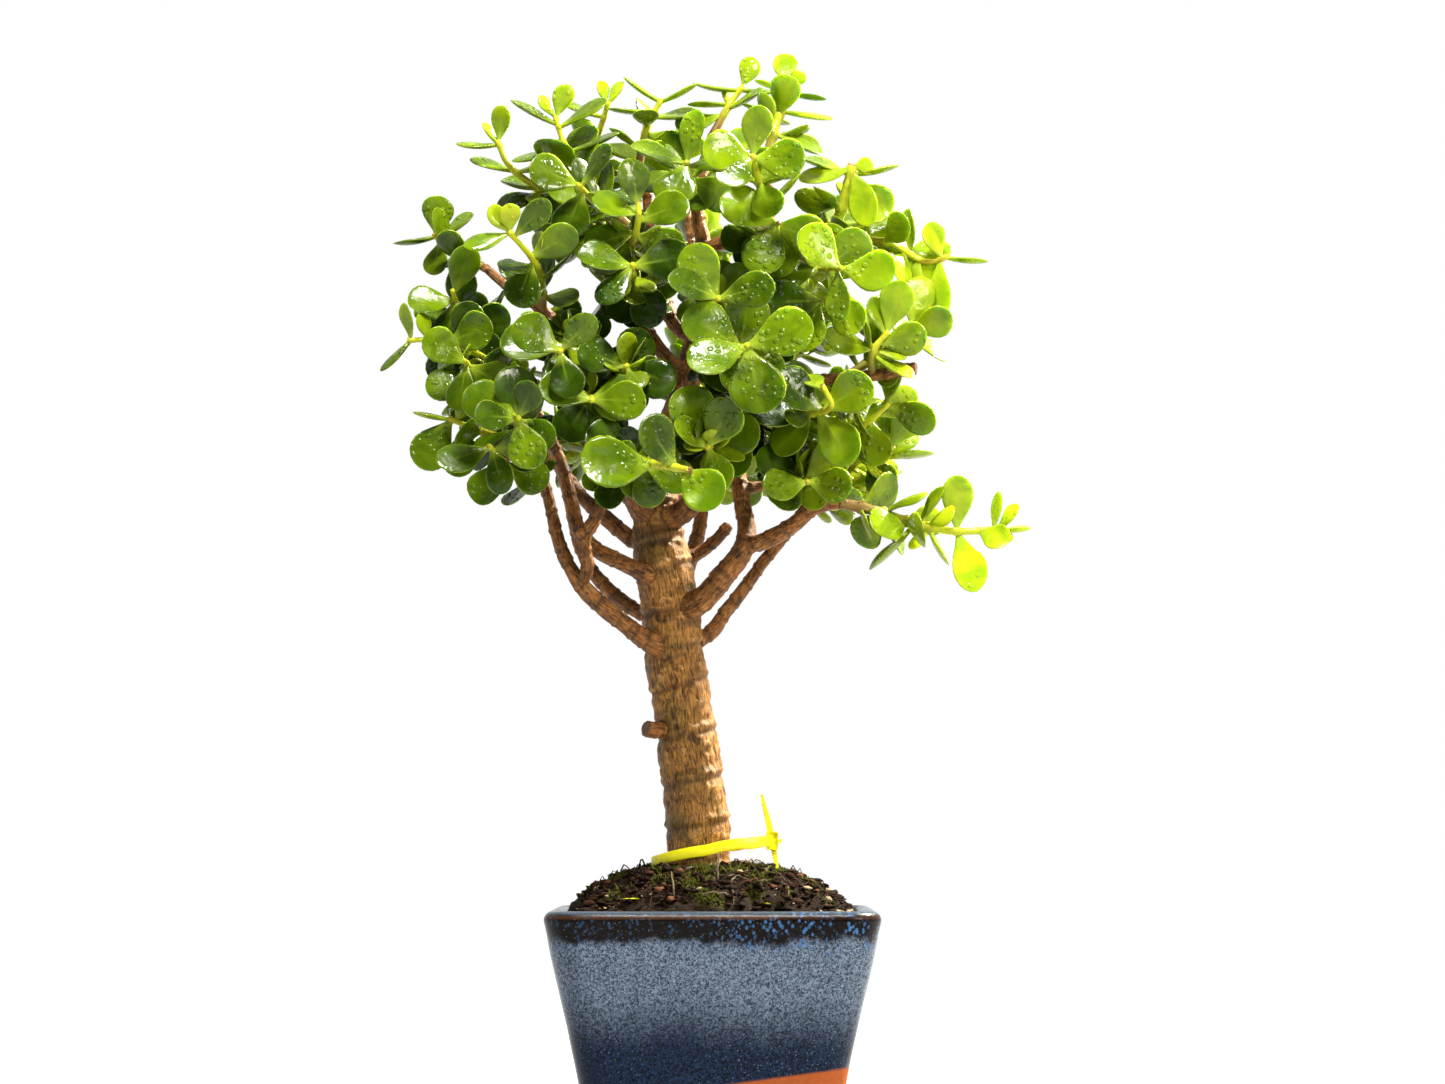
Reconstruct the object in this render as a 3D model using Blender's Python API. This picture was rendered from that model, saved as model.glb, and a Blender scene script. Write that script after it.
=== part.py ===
"""Potted dwarf jade tree: glazed square pot, soil, strap round the trunk, wood and leafy shoots.

Units are millimetres in the tables below and metres in the scene. +Z is up, the front faces -Y,
and the origin is the middle of the pot's underside. Plant points are (across, back, up) from the
soil line under the trunk, as drawn for a tree of DRAWN_HEIGHT.
"""

import math
import random

import bmesh
import bpy
from mathutils import Matrix, Vector, noise
from mathutils.bvhtree import BVHTree

MM = 0.001

# ---- sizes, in millimetres -------------------------------------------------------------------
POT_WIDTH = 127.0
POT_BASE_WIDTH = 98.0
POT_HEIGHT = 74.0
POT_WALL = 7.0
POT_FLOOR = 8.0
POT_CORNER = 13.0
POT_LIP_SWELL = 0.4
POT_LIP_DEPTH = 9.0
POT_BELLY = 1.1
POT_FOOT_ROUND = 2.6
POT_FLOOR_ROUND = 4.0
DRAIN_HOLE = 15.0
DRAIN_SPACING = 34.0
MESH_THICKNESS = 0.8
MESH_MARGIN = 3.0
MESH_BAR = 1.2
MESH_SLOTS = 5
SOIL_BELOW_LIP = 1.5
SOIL_CROWN = 16.0
SOIL_BUMP = 0.9
SOIL_HEAP = 3.0
SOIL_FOOT_INSET = 4.6
# Rings of the soil's surface, as shares of the way from the pot's wall to the trunk.
SOIL_RINGS = (0.05, 0.14, 0.3, 0.5, 0.75, 1.0)
SOCKET_DEPTH = 12.0
SOCKET_GAP = 0.5
TREE_HEIGHT = 312.0
DRAWN_HEIGHT = 312.0
TRUNK_RADIUS = 11.5
ROOT_FLARE = 1.18
LIMB_SCALE = 1.0
STEM_RADIUS = 1.7
STEM_TIP_RADIUS = 0.9
LEAF_LENGTH = 18.0
DRAWN_LEAF = 18.0
LEAF_THICKNESS = 2.3
YOUNG_LEAF = 0.5
PAIR_SPACING = 8.5
SHADED_PAIR_SPACING = 9.0
YOUNG_REACH = 18.0
CROWN_MIDDLE = (-10, -5, 180)
STRAP_WIDTH = 4.2
STRAP_THICKNESS = 1.3
STRAP_HEAD = 7.0
STRAP_TAIL = 18.0
STRAP_SPARE = 10.6
STRAP_SHIFT = 5.5
STRAP_SLACK = 0.9
STRAP_LIFT = 8.5
# Where the strap's head sits: share of the loop's near half that it stands in front of the middle.
STRAP_HEAD_FRONT = 0.35
# Shares of the head's height that its width and its depth take.
STRAP_HEAD_WIDE = 0.8
STRAP_HEAD_DEEP = 0.7
# Tail above the head, as shares of its length: across, back, up and its half width.
STRAP_UP_TAIL = [(0.0, 0.0, 0.0, 0.6), (-0.08, -0.02, 0.4, 0.54), (-0.16, -0.03, 0.72, 0.4),
                 (-0.22, -0.03, 1.0, 0.22)]
# Half widths of the short end below the head, from the head down.
STRAP_DOWN_WIDTHS = (0.5, 0.45, 0.3)
STRAP_DOWN_SHIFT = (2.0, -1.2, 0.0)
STRAP_TAIL_THICK = 0.45
# Share of the soil's bumps that a strap laid on it clears.
STRAP_BUMP_SHARE = 0.4
SEAT_GAP = 0.3
LEAF_GAP = 0.35
CAP_DOME = 0.2

# ---- mesh fineness ---------------------------------------------------------------------------
POT_CORNER_STEPS = 4
DRAIN_SIDES = 20
SOIL_STEPS = 32
TRUNK_SIDES = 10
LIMB_SIDES = 6
STEM_SIDES = 5
STRAP_STEPS = 28

# ---- colours: red, green, blue, roughness ----------------------------------------------------
GLAZE = (0.045, 0.075, 0.11, 0.18)
BARK = (0.24, 0.12, 0.06, 0.5)
EARTH = (0.05, 0.032, 0.022, 0.95)
STRAP_YELLOW = (0.85, 0.9, 0.05, 0.4)
MESH_BLACK = (0.03, 0.03, 0.03, 0.7)
LEAF_GREEN = (0.12, 0.3, 0.03, 0.28)

# Trunk: across, back, up, radius as a share of TRUNK_RADIUS.
TRUNK = [
    (-5, 0, 2, 1.04),
    (-6, 0, 18, 1.08),
    (-8, 0, 34, 1.05),
    (-10, 0, 49, 1.01),
    (-12, 0, 65, 0.99),
    (-15, 0, 80, 1.01),
    (-17, 0, 103, 0.98),
    (-20, 0, 119, 0.98),
    (-22, 0, 134, 0.80),
    (-21, 1, 148, 0.70),
    (-17, 2, 166, 0.60),
    (-11, 2, 185, 0.48),
    (-7, 1, 205, 0.39),
    (-5, 0, 224, 0.33),
]

# Limbs: parent, then points of across, back, up, radius. The first point is where the limb
# leaves its parent; its root inside the parent is added by rooted().
LIMBS = {
    "left_low": ("trunk", [(-24, -10, 86, 4.2), (-35, -16, 94, 3.6), (-47, -19, 104, 3.4),
                           (-55, -20, 115, 2.9), (-60, -20, 127, 2.6), (-64, -17, 144, 2.4),
                           (-70, -18, 156, 2.2), (-76, -26, 169, 2.0)]),
    "left_low_fork": ("left_low", [(-48, -24, 114, 2.9), (-49, -27, 125, 2.7), (-45, -28, 133, 2.6),
                                   (-41, -28, 142, 2.3), (-40, -30, 151, 2.0)]),
    "left_mid": ("trunk", [(-26, -9, 113, 3.6), (-35, -11, 117, 3.2), (-46, -10, 123, 3.2),
                           (-52, -7, 130, 3.1), (-55, -4, 141, 3.0), (-58, -2, 153, 2.7),
                           (-64, -5, 168, 2.3), (-72, -11, 183, 2.0)]),
    "left_back": ("trunk", [(-29, 8, 99, 3.1), (-41, 14, 108, 2.9), (-49, 19, 118, 2.8),
                            (-54, 24, 131, 2.6), (-58, 29, 148, 2.4), (-65, 32, 169, 2.1)]),
    "left_upper": ("trunk", [(-31, 6, 127, 3.4), (-42, 10, 136, 3.2), (-52, 12, 145, 3.0),
                             (-61, 13, 157, 2.6), (-71, 12, 171, 2.3), (-85, 6, 185, 2.0)]),
    "front_left": ("trunk", [(-28, -8, 139, 4.3), (-32, -15, 149, 4.0), (-38, -20, 164, 3.4),
                             (-43, -22, 177, 3.0), (-47, -22, 190, 2.7), (-51, -20, 204, 2.4),
                             (-54, -20, 217, 2.0)]),
    "front_left_fork": ("front_left", [(-56, -26, 203, 2.4), (-65, -28, 213, 2.3),
                                       (-77, -28, 221, 2.1), (-88, -26, 230, 1.8)]),
    "front_right": ("trunk", [(-12, -9, 137, 4.7), (-4, -15, 144, 4.3), (2, -19, 154, 3.5),
                              (4, -20, 166, 3.1), (3, -18, 179, 2.8), (3, -17, 193, 2.5),
                              (6, -18, 208, 2.1)]),
    "right_front": ("trunk", [(-4, -10, 103, 4.9), (5, -14, 113, 4.6), (11, -15, 121, 4.3),
                              (13, -12, 130, 3.6), (11, -8, 142, 3.3), (10, -4, 156, 3.0),
                              (12, -2, 171, 2.7), (15, -4, 186, 2.4), (20, -8, 202, 2.0)]),
    "right_reach": ("right_front", [(20, -18, 125, 3.5), (31, -21, 131, 3.2), (38, -23, 137, 3.0),
                                    (45, -25, 139, 2.7), (49, -26, 139, 2.4)]),
    "right_inner": ("right_front", [(17, -6, 147, 2.2), (26, -4, 150, 2.1), (34, -4, 155, 2.0),
                                    (42, -6, 163, 1.8)]),
    "right_low": ("trunk", [(-2, 5, 90, 3.1), (5, 8, 99, 2.9), (12, 10, 108, 2.8),
                            (19, 12, 118, 2.6), (27, 13, 128, 2.4), (37, 12, 141, 2.2),
                            (48, 6, 153, 2.0)]),
    "right_stub": ("trunk", [(-7, 4, 121, 2.6), (1, 7, 127, 2.4), (6, 10, 133, 2.6)]),
    "right_bare": ("right_front", [(22, -10, 184, 2.6), (33, -18, 187, 2.5), (46, -24, 187, 2.4),
                                   (61, -28, 188, 2.4), (74, -31, 190, 2.5), (78, -32, 190, 2.6)]),
    "top_centre": ("trunk", [(-5, 0, 230, 3.6), (-4, 1, 243, 3.2), (-6, 2, 257, 2.8),
                             (-4, 2, 273, 2.4), (0, 0, 286, 2.0)]),
    "top_centre_fork": ("top_centre", [(3, -8, 242, 2.8), (12, -16, 245, 2.5), (21, -24, 249, 2.4),
                                       (21, -28, 259, 2.2), (20, -30, 269, 1.9)]),
    "top_left": ("trunk", [(-15, 7, 212, 3.3), (-20, 10, 225, 3.0), (-22, 10, 241, 2.6),
                           (-25, 8, 258, 2.3), (-29, 4, 275, 1.9)]),
    "top_left_fork": ("top_left", [(-33, 16, 236, 2.3), (-44, 18, 247, 2.1), (-54, 16, 259, 1.8)]),
    "top_right": ("trunk", [(3, -5, 224, 3.0), (13, -6, 228, 2.7), (27, -8, 231, 2.4),
                            (41, -8, 235, 2.2), (53, -4, 243, 1.9)]),
    "crown_left": ("trunk", [(-17, -7, 196, 3.0), (-25, -13, 206, 2.8), (-31, -17, 218, 2.5),
                             (-34, -20, 232, 2.2), (-33, -22, 247, 1.9)]),
    "back_low": ("trunk", [(-14, 13, 109, 3.6), (-9, 26, 121, 3.2), (-5, 38, 137, 2.8),
                           (-3, 46, 158, 2.4), (-5, 50, 178, 2.0)]),
    "back_left": ("trunk", [(-27, 12, 134, 3.3), (-34, 30, 147, 3.0), (-45, 42, 165, 2.5),
                            (-53, 50, 186, 2.0)]),
    "back_right": ("trunk", [(-12, 12, 147, 3.2), (1, 30, 163, 2.8), (16, 42, 181, 2.4),
                             (29, 48, 200, 2.0)]),
    "back_top": ("trunk", [(-9, 12, 200, 3.0), (-7, 30, 222, 2.7), (-8, 42, 245, 2.3),
                           (-11, 46, 266, 1.9)]),
}

# Short pruned twigs on the wood: limb they stand on, foot and end points, radius.
CUT_TWIGS = [
    ("trunk", (-18, -6, 52), (-26, -12, 53), 3.4),
    ("left_low_fork", (-49, -27, 125), (-52, -30, 129), 2.2),
    ("left_low", (-70, -18, 156), (-80, -26, 158), 2.3),
    ("front_right", (4, -20, 166), (9, -24, 170), 1.8),
]

# Leafy shoots: limb they grow from, stem points (the first lies on the limb), then leaves drawn
# one by one as (place along the stem 0..1, angle seen from the front with 0 right and 90 up,
# length, width, lean towards the front in degrees, roll in degrees with 90 showing the edge).
SHOOTS = {
    "right_long": ("right_reach", [(49, -26, 139), (62, -27, 136), (77, -29, 131),
                                   (93, -29, 128), (111, -29, 129)],
                   [(0.42, 195, 17, 16, 35, 5), (0.26, 230, 15, 14, -25, 10),
                    (0.46, 232, 24, 12, 5, 72), (0.56, 228, 11, 6, 0, 40),
                    (0.48, 52, 17, 9, 10, 55), (0.72, 97, 22, 13, 5, 5),
                    (0.72, 290, 24, 13, 5, 8), (0.84, 335, 14, 11, 25, 10),
                    (0.94, 82, 14, 8, 0, 50), (0.96, 42, 12, 8, 20, 30),
                    (1.0, 355, 11, 6, 0, 60), (0.97, 300, 8, 6, 20, 20)]),
    "right_low_front": ("right_inner", [(30, -4, 152), (34, -28, 149), (36, -50, 145)],
                        [(0.98, 190, 18, 15, 15, 5), (0.98, 352, 17, 14, 15, 15),
                         (0.80, 155, 21, 17, 10, 10), (0.80, 40, 19, 16, 5, 10),
                         (0.6, 110, 18, 14, 0, 30)]),
    "right_mid": ("right_front", [(12, -2, 171), (28, -30, 172), (44, -60, 172), (41, -63, 181)],
                  [(0.8, 150, 22, 17, 15, 0), (0.8, 28, 21, 17, 15, 5),
                   (0.7, 183, 24, 16, 5, 10), (0.74, 305, 25, 16, 15, 5),
                   (0.68, 235, 20, 15, -5, 15), (0.5, 90, 20, 16, 0, 20)]),
    "right_tip_low": ("right_low", [(48, 6, 153), (58, -4, 158), (70, -12, 162)],
                      [(0.7, 352, 22, 12, 5, 75), (0.95, 60, 20, 13, 10, 20),
                       (0.9, 130, 17, 14, 10, 20), (0.6, 300, 16, 13, 0, 20)]),
    "right_tip_mid": ("right_inner", [(42, -6, 163), (56, -16, 168), (68, -22, 178)],
                      [(0.95, 340, 20, 13, 5, 20), (0.75, 20, 19, 13, 0, 20),
                       (0.95, 75, 17, 11, 0, 35), (0.7, 280, 18, 15, 5, 15)]),
    "bare_branch_shoot": ("right_bare", [(61, -28, 188), (61, -36, 196), (67, -38, 204)],
                          [(0.6, 175, 20, 15, 10, 20), (0.7, 8, 18, 13, 5, 25),
                           (0.95, 75, 20, 14, 5, 15), (0.9, 110, 15, 11, 5, 30),
                           (0.5, 320, 18, 10, 0, 45)]),
    "right_upper": ("top_right", [(27, -8, 231), (40, -36, 228), (49, -60, 225)],
                    [(0.95, 140, 21, 17, 15, 0), (0.97, 348, 21, 17, 15, 5),
                     (0.9, 272, 22, 11, 5, 40), (0.75, 288, 24, 12, 0, 30),
                     (0.7, 40, 20, 16, 0, 20), (0.6, 190, 20, 16, 0, 15)]),
    "right_dark": ("right_front", [(20, -8, 202), (33, -32, 211), (44, -54, 215)],
                   [(0.9, 185, 22, 18, 10, 5), (0.85, 250, 20, 16, 5, 10),
                    (0.95, 320, 18, 14, 10, 20), (0.6, 200, 18, 15, 0, 20),
                    (0.5, 100, 18, 15, 0, 20)]),
    "right_far": ("top_right", [(53, -4, 243), (68, -8, 242), (82, -12, 234), (92, -14, 236)],
                  [(0.95, 350, 16, 7, 0, 70), (0.92, 115, 14, 12, 5, 25),
                   (0.9, 268, 26, 12, 5, 25), (0.7, 255, 22, 14, 0, 20),
                   (0.6, 85, 17, 11, 0, 50), (0.75, 60, 15, 8, 0, 60),
                   (0.55, 300, 20, 15, 0, 20)]),
    "right_far_low": ("right_bare", [(50, -25, 187), (66, -22, 198), (78, -20, 208)],
                      [(0.95, 80, 20, 15, 0, 20), (0.9, 20, 17, 13, 5, 25),
                       (0.9, 320, 18, 10, 0, 40), (0.6, 285, 17, 12, 0, 30),
                       (0.7, 150, 18, 14, 0, 15)]),
    "upper_right_cut": ("top_right", [(41, -8, 235), (49, -15, 252), (54, -20, 271)],
                        [(0.96, 200, 21, 12, 10, 25), (0.94, 292, 25, 12, 15, 20),
                         (0.98, 5, 8, 7, 10, 20), (0.9, 3, 19, 10, -5, 65),
                         (0.8, 325, 20, 16, -10, 15), (0.9, 160, 20, 12, -5, 50),
                         (0.6, 180, 18, 14, 0, 20)]),
    "top_right_tip": ("top_centre_fork", [(20, -30, 269), (24, -28, 284), (28, -22, 296),
                                          (30, -18, 303)],
                      [(1.0, 108, 12, 11, 0, 10), (0.9, 165, 13, 7, 0, 60),
                       (0.88, 343, 15, 8, 5, 60), (0.98, 40, 7, 6, 10, 20),
                       (0.6, 175, 15, 9, 0, 60), (0.62, 350, 20, 10, 5, 55),
                       (0.35, 200, 18, 14, 0, 30), (0.35, 335, 20, 13, 0, 40)]),
    "rosette_upper": ("top_centre_fork", [(21, -24, 249), (18, -45, 258), (15, -66, 267)],
                      [(1.0, 85, 19, 12, 10, 15), (0.95, 170, 20, 17, 15, 0),
                       (1.0, 222, 18, 15, 20, 5), (0.95, 355, 20, 18, 12, 5),
                       (0.6, 40, 19, 15, 0, 20), (0.6, 290, 19, 15, 0, 20)]),
    "big_leaf_front": ("top_centre_fork", [(12, -16, 245), (20, -36, 243), (25, -54, 243)],
                       [(0.95, 72, 23, 22, 15, 0), (0.92, 155, 23, 20, 10, 5),
                        (0.95, 248, 22, 17, 15, 5), (0.8, 345, 21, 17, 5, 20),
                        (0.6, 290, 20, 16, 0, 20)]),
    "top_mid": ("top_centre", [(0, 0, 286), (6, 2, 297), (12, 4, 306)],
                [(0.98, 68, 12, 9, 0, 25), (0.9, 180, 18, 8, 0, 62),
                 (0.9, 355, 15, 8, 5, 60), (0.6, 170, 18, 9, -5, 60),
                 (0.5, 20, 18, 13, 5, 45), (0.4, 200, 19, 14, 5, 35)]),
    "top_mid_left": ("top_left", [(-29, 4, 275), (-26, 2, 289), (-20, 0, 300)],
                     [(0.98, 150, 17, 8, 0, 60), (0.95, 20, 16, 8, 0, 60),
                      (0.8, 185, 18, 9, 5, 55), (0.7, 0, 19, 12, 5, 45),
                      (0.5, 160, 19, 13, 5, 35), (0.45, 330, 20, 15, 5, 25)]),
    "top_left": ("top_left_fork", [(-54, 16, 259), (-50, 12, 275), (-44, 5, 290), (-41, 0, 299)],
                 [(1.0, 112, 9, 6, 0, 30), (0.98, 55, 10, 7, 0, 40),
                  (0.85, 22, 17, 9, 0, 55), (0.85, 165, 17, 9, 0, 55),
                  (0.6, 190, 18, 12, 5, 45), (0.6, 340, 18, 13, 5, 40)]),
    "left_top": ("crown_left", [(-33, -22, 247), (-47, -23, 262), (-57, -22, 278), (-61, -20, 290)],
                 [(1.0, 75, 13, 9, 5, 25), (0.98, 130, 10, 6, 0, 30),
                  (0.92, 155, 20, 9, 0, 50), (0.9, 30, 21, 11, 5, 45),
                  (0.75, 205, 21, 10, 5, 50), (0.7, 15, 20, 10, 5, 50),
                  (0.5, 230, 18, 16, 25, 5), (0.5, 60, 17, 13, 0, 35)]),
    "left_high": ("top_left_fork", [(-44, 18, 247), (-64, 6, 262), (-79, -6, 272), (-84, -10, 282)],
                  [(0.98, 84, 14, 8, 0, 20), (0.97, 188, 16, 7, 0, 55),
                   (0.96, 130, 10, 5, 0, 45), (0.75, 165, 18, 10, 0, 50),
                   (0.75, 10, 18, 11, 5, 45), (0.5, 200, 19, 13, 5, 35),
                   (0.55, 330, 18, 15, 10, 20)]),
    "left_tip": ("front_left_fork", [(-88, -26, 230), (-99, -22, 236), (-108, -18, 244)],
                 [(0.97, 84, 15, 13, 5, 10), (0.95, 198, 16, 7, 0, 60),
                  (0.9, 30, 16, 9, 5, 45), (0.85, 262, 14, 11, 5, 20),
                  (0.6, 120, 16, 10, 0, 40), (0.5, 280, 18, 14, 5, 15)]),
    "left_shoulder": ("left_upper", [(-85, 6, 185), (-95, -8, 203), (-100, -28, 221)],
                      [(0.95, 70, 20, 13, 5, 25), (0.9, 190, 18, 15, 10, 10),
                       (0.9, 260, 20, 16, 10, 10), (0.7, 175, 18, 14, 0, 20),
                       (0.6, 20, 18, 14, 0, 20), (0.5, 230, 20, 16, 5, 15)]),
    "rosette_left": ("front_left_fork", [(-65, -28, 213), (-66, -52, 226), (-76, -74, 237)],
                     [(1.0, 200, 18, 9, 10, 10), (1.0, 132, 12, 8, 10, 10),
                      (0.97, 95, 11, 9, 10, 20), (0.92, 45, 19, 10, 10, 25),
                      (0.65, 30, 20, 14, 5, 20), (0.6, 250, 18, 15, 5, 10)]),
    "left_far": ("left_mid", [(-72, -11, 183), (-88, -26, 195), (-103, -31, 201), (-117, -32, 201)],
                 [(1.0, 228, 16, 7, 5, 50), (0.98, 92, 14, 7, 5, 40),
                  (0.72, 15, 19, 16, 20, 0), (0.85, 120, 11, 8, 5, 30),
                  (0.6, 85, 18, 14, 0, 20), (0.6, 275, 18, 13, 5, 20)]),
    "left_side_low": ("left_upper", [(-78, 9, 178), (-90, -18, 186), (-94, -42, 192)],
                      [(0.95, 150, 19, 15, 10, 5), (0.95, 262, 19, 12, 10, 20),
                       (0.9, 330, 20, 16, 10, 10), (0.7, 200, 19, 15, 5, 15),
                       (0.6, 80, 19, 15, 0, 20)]),
    "rosette_mid_left": ("front_left", [(-51, -20, 204), (-54, -46, 199), (-57, -72, 192)],
                         [(1.0, 150, 20, 17, 15, 5), (1.0, 283, 19, 14, 15, 10),
                          (0.95, 48, 18, 11, 10, 20), (0.75, 178, 24, 17, 5, 10),
                          (0.6, 320, 20, 16, 0, 20)]),
    "rosette_low_left": ("left_low", [(-76, -26, 169), (-74, -52, 166), (-72, -78, 167)],
                         [(0.95, 182, 17, 14, 20, 10), (1.0, 62, 15, 12, 20, 5),
                          (0.85, 150, 22, 18, 5, 5), (0.8, 95, 20, 17, 5, 10),
                          (0.95, 285, 20, 15, 10, 10), (0.9, 325, 17, 12, 10, 15)]),
    "left_low_far": ("left_low", [(-73, -22, 163), (-88, -30, 166), (-101, -34, 171)],
                     [(1.0, 172, 14, 6, 5, 60), (0.95, 235, 22, 17, 5, 5),
                      (0.75, 265, 20, 15, 5, 10), (0.9, 60, 19, 14, 5, 20),
                      (0.6, 120, 18, 14, 0, 20)]),
    "left_low_front": ("left_low", [(-66, -18, 149), (-77, -40, 152), (-84, -60, 158)],
                       [(0.98, 205, 22, 14, 20, 5), (0.95, 290, 18, 12, 10, 20),
                        (0.9, 20, 18, 14, 5, 20), (0.7, 245, 19, 15, 0, 10),
                        (0.6, 330, 17, 14, 5, 20)]),
    "pair_mid": ("front_left", [(-47, -22, 190), (-46, -46, 180), (-45, -70, 174)],
                 [(1.0, 165, 20, 16, 15, 10), (1.0, 358, 21, 16, 15, 5),
                  (0.7, 240, 20, 17, 5, 10), (0.65, 300, 20, 15, 0, 20),
                  (0.6, 80, 18, 14, 0, 20)]),
    "front_low": ("left_low_fork", [(-40, -30, 151), (-30, -58, 152), (-20, -82, 149),
                                    (-8, -92, 146)],
                  [(0.72, 183, 27, 23, 10, 0), (0.9, 128, 22, 17, 15, 5),
                   (0.92, 318, 21, 17, 20, 5), (0.45, 150, 21, 18, 0, 10),
                   (0.5, 290, 17, 13, 0, 25)]),
    "front_mid_low": ("front_right", [(4, -20, 166), (1, -44, 160), (-2, -64, 157)],
                      [(1.0, 60, 20, 16, 10, 5), (1.0, 290, 18, 13, 15, 10),
                       (0.9, 118, 24, 20, 5, 5), (0.75, 20, 19, 16, 5, 15),
                       (0.6, 200, 19, 15, 0, 20)]),
    "front_mid": ("front_right", [(3, -17, 193), (8, -48, 194), (13, -76, 194)],
                  [(1.0, 200, 24, 19, 15, 5), (1.0, 15, 26, 20, 12, 5),
                   (0.97, 282, 27, 22, 12, 0), (0.8, 150, 25, 20, 5, 5),
                   (0.7, 80, 22, 18, 0, 15), (0.6, 330, 20, 15, 0, 25)]),
    "front_centre": ("front_right", [(6, -18, 208), (4, -44, 212), (2, -66, 213)],
                     [(1.0, 160, 21, 14, 18, 10), (1.0, 12, 22, 15, 15, 5),
                      (0.9, 125, 23, 17, 5, 5), (0.75, 200, 17, 13, 5, 10),
                      (0.7, 330, 19, 16, 0, 20), (0.6, 60, 18, 14, 0, 20)]),
    "centre_left": ("front_left", [(-43, -22, 177), (-37, -44, 183), (-32, -62, 188)],
                    [(0.95, 160, 19, 16, 5, 10), (0.95, 340, 20, 17, 10, 10),
                     (0.9, 255, 20, 17, 5, 10), (0.7, 60, 20, 15, 0, 15),
                     (0.6, 210, 19, 15, 0, 20)]),
    "crown_stub": ("crown_left", [(-34, -20, 232), (-31, -42, 235), (-28, -60, 243),
                                  (-28, -62, 250)],
                   [(0.95, 100, 18, 13, 10, 20), (0.9, 165, 18, 12, 10, 15),
                    (0.85, 20, 20, 15, 5, 10), (0.7, 200, 20, 15, 0, 20),
                    (0.65, 340, 19, 15, 0, 20)]),
    "crown_front": ("crown_left", [(-31, -17, 218), (-30, -42, 222), (-30, -64, 226)],
                    [(1.0, 235, 20, 12, 12, 10), (0.95, 170, 21, 15, 10, 15),
                     (0.95, 10, 22, 17, 5, 10), (0.75, 130, 20, 15, 0, 15),
                     (0.65, 300, 20, 15, 0, 20)]),
    "top_front": ("top_centre", [(-6, 2, 257), (-8, -24, 263), (-10, -50, 267)],
                  [(1.0, 80, 20, 13, 5, 35), (0.95, 165, 22, 13, 5, 30),
                   (0.97, 250, 19, 17, 20, 5), (0.9, 5, 18, 13, 5, 30),
                   (0.7, 200, 20, 15, 0, 25), (0.6, 330, 19, 15, 0, 25)]),
    "left_front_high": ("crown_left", [(-34, -21, 239), (-42, -42, 249), (-51, -60, 257)],
                        [(0.98, 160, 20, 16, 15, 5), (0.95, 50, 19, 11, 5, 40),
                         (0.9, 250, 19, 15, 10, 10), (0.85, 350, 21, 13, 5, 30),
                         (0.6, 120, 20, 13, 0, 35)]),
    "back_crown": ("back_top", [(-11, 46, 266), (-12, 52, 280), (-10, 54, 292)], []),
    "back_high": ("back_top", [(-8, 42, 245), (-4, 60, 252), (-2, 76, 256)], []),
    "back_right_high": ("back_right", [(29, 48, 200), (38, 56, 214), (46, 60, 232)], []),
    "back_right_side": ("back_right", [(16, 42, 181), (36, 54, 182), (56, 58, 186)], []),
    "back_left_high": ("back_left", [(-53, 50, 186), (-60, 58, 202), (-64, 60, 220)], []),
    "back_left_side": ("back_left", [(-45, 42, 165), (-56, 60, 168), (-64, 74, 174)], []),
    "back_middle": ("back_low", [(-5, 50, 178), (-8, 66, 192), (-12, 78, 208)], []),
    "back_low_right": ("back_low", [(-3, 46, 158), (10, 64, 160), (20, 78, 166)], []),
    "left_back_low": ("left_back", [(-65, 32, 169), (-80, 36, 176), (-94, 36, 186)], []),
    "left_back_high": ("left_upper", [(-78, 9, 178), (-88, 22, 196), (-92, 24, 216)], []),
    "top_back_right": ("top_right", [(41, -8, 235), (48, 14, 243), (54, 32, 250)], []),
    "top_back_left": ("top_left", [(-22, 10, 241), (-34, 34, 250), (-46, 48, 256)], []),
    "far_back_left_top": ("top_left_fork", [(-44, 18, 247), (-56, 34, 254), (-64, 46, 266)], []),
    "far_back_right_top": ("top_right", [(46, -6, 238), (58, 14, 248), (68, 30, 256)], []),
    "far_back_right_low": ("right_low", [(37, 12, 141), (50, 26, 152), (62, 38, 162)], []),
    "back_centre": ("back_right", [(1, 30, 163), (6, 56, 178), (12, 72, 192)], []),
}


# ---- shared helpers --------------------------------------------------------------------------
def plant_point(across, back, up):
    """World point in metres of a drawn plant point."""
    scale = TREE_HEIGHT / DRAWN_HEIGHT
    return Vector((across * scale * MM, back * scale * MM, soil_line() * MM + up * scale * MM))


def soil_line():
    """Height of the soil line under the trunk, in millimetres."""
    return POT_HEIGHT + SOIL_CROWN


def make_material(name, colour):
    material = bpy.data.materials.new(name)
    material.use_nodes = True
    shader = material.node_tree.nodes["Principled BSDF"]
    shader.inputs["Base Color"].default_value = (colour[0], colour[1], colour[2], 1.0)
    shader.inputs["Roughness"].default_value = colour[3]
    shader.inputs["Metallic"].default_value = 0.0
    return material


def make_object(name, verts, faces, colour=None):
    mesh = bpy.data.meshes.new(name)
    mesh.from_pydata([tuple(v) for v in verts], [], faces)
    mesh.update()
    obj = bpy.data.objects.new(name, mesh)
    bpy.context.scene.collection.objects.link(obj)
    if colour:
        mesh.materials.append(make_material(name, colour))
    return obj


def remove_object(obj):
    mesh = obj.data
    bpy.data.objects.remove(obj)
    bpy.data.meshes.remove(mesh)


def combine(first, second, operation, self_crossing=False):
    """Boolean of two objects: the first keeps the result, the second is removed."""
    step = first.modifiers.new("combine", "BOOLEAN")
    step.operation = operation
    step.solver = "EXACT"
    step.use_self = self_crossing
    step.object = second
    bpy.context.view_layer.update()
    graph = bpy.context.evaluated_depsgraph_get()
    result = bpy.data.meshes.new_from_object(first.evaluated_get(graph))
    first.modifiers.remove(step)
    old = first.data
    first.data = result
    bpy.data.meshes.remove(old)
    remove_object(second)


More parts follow.
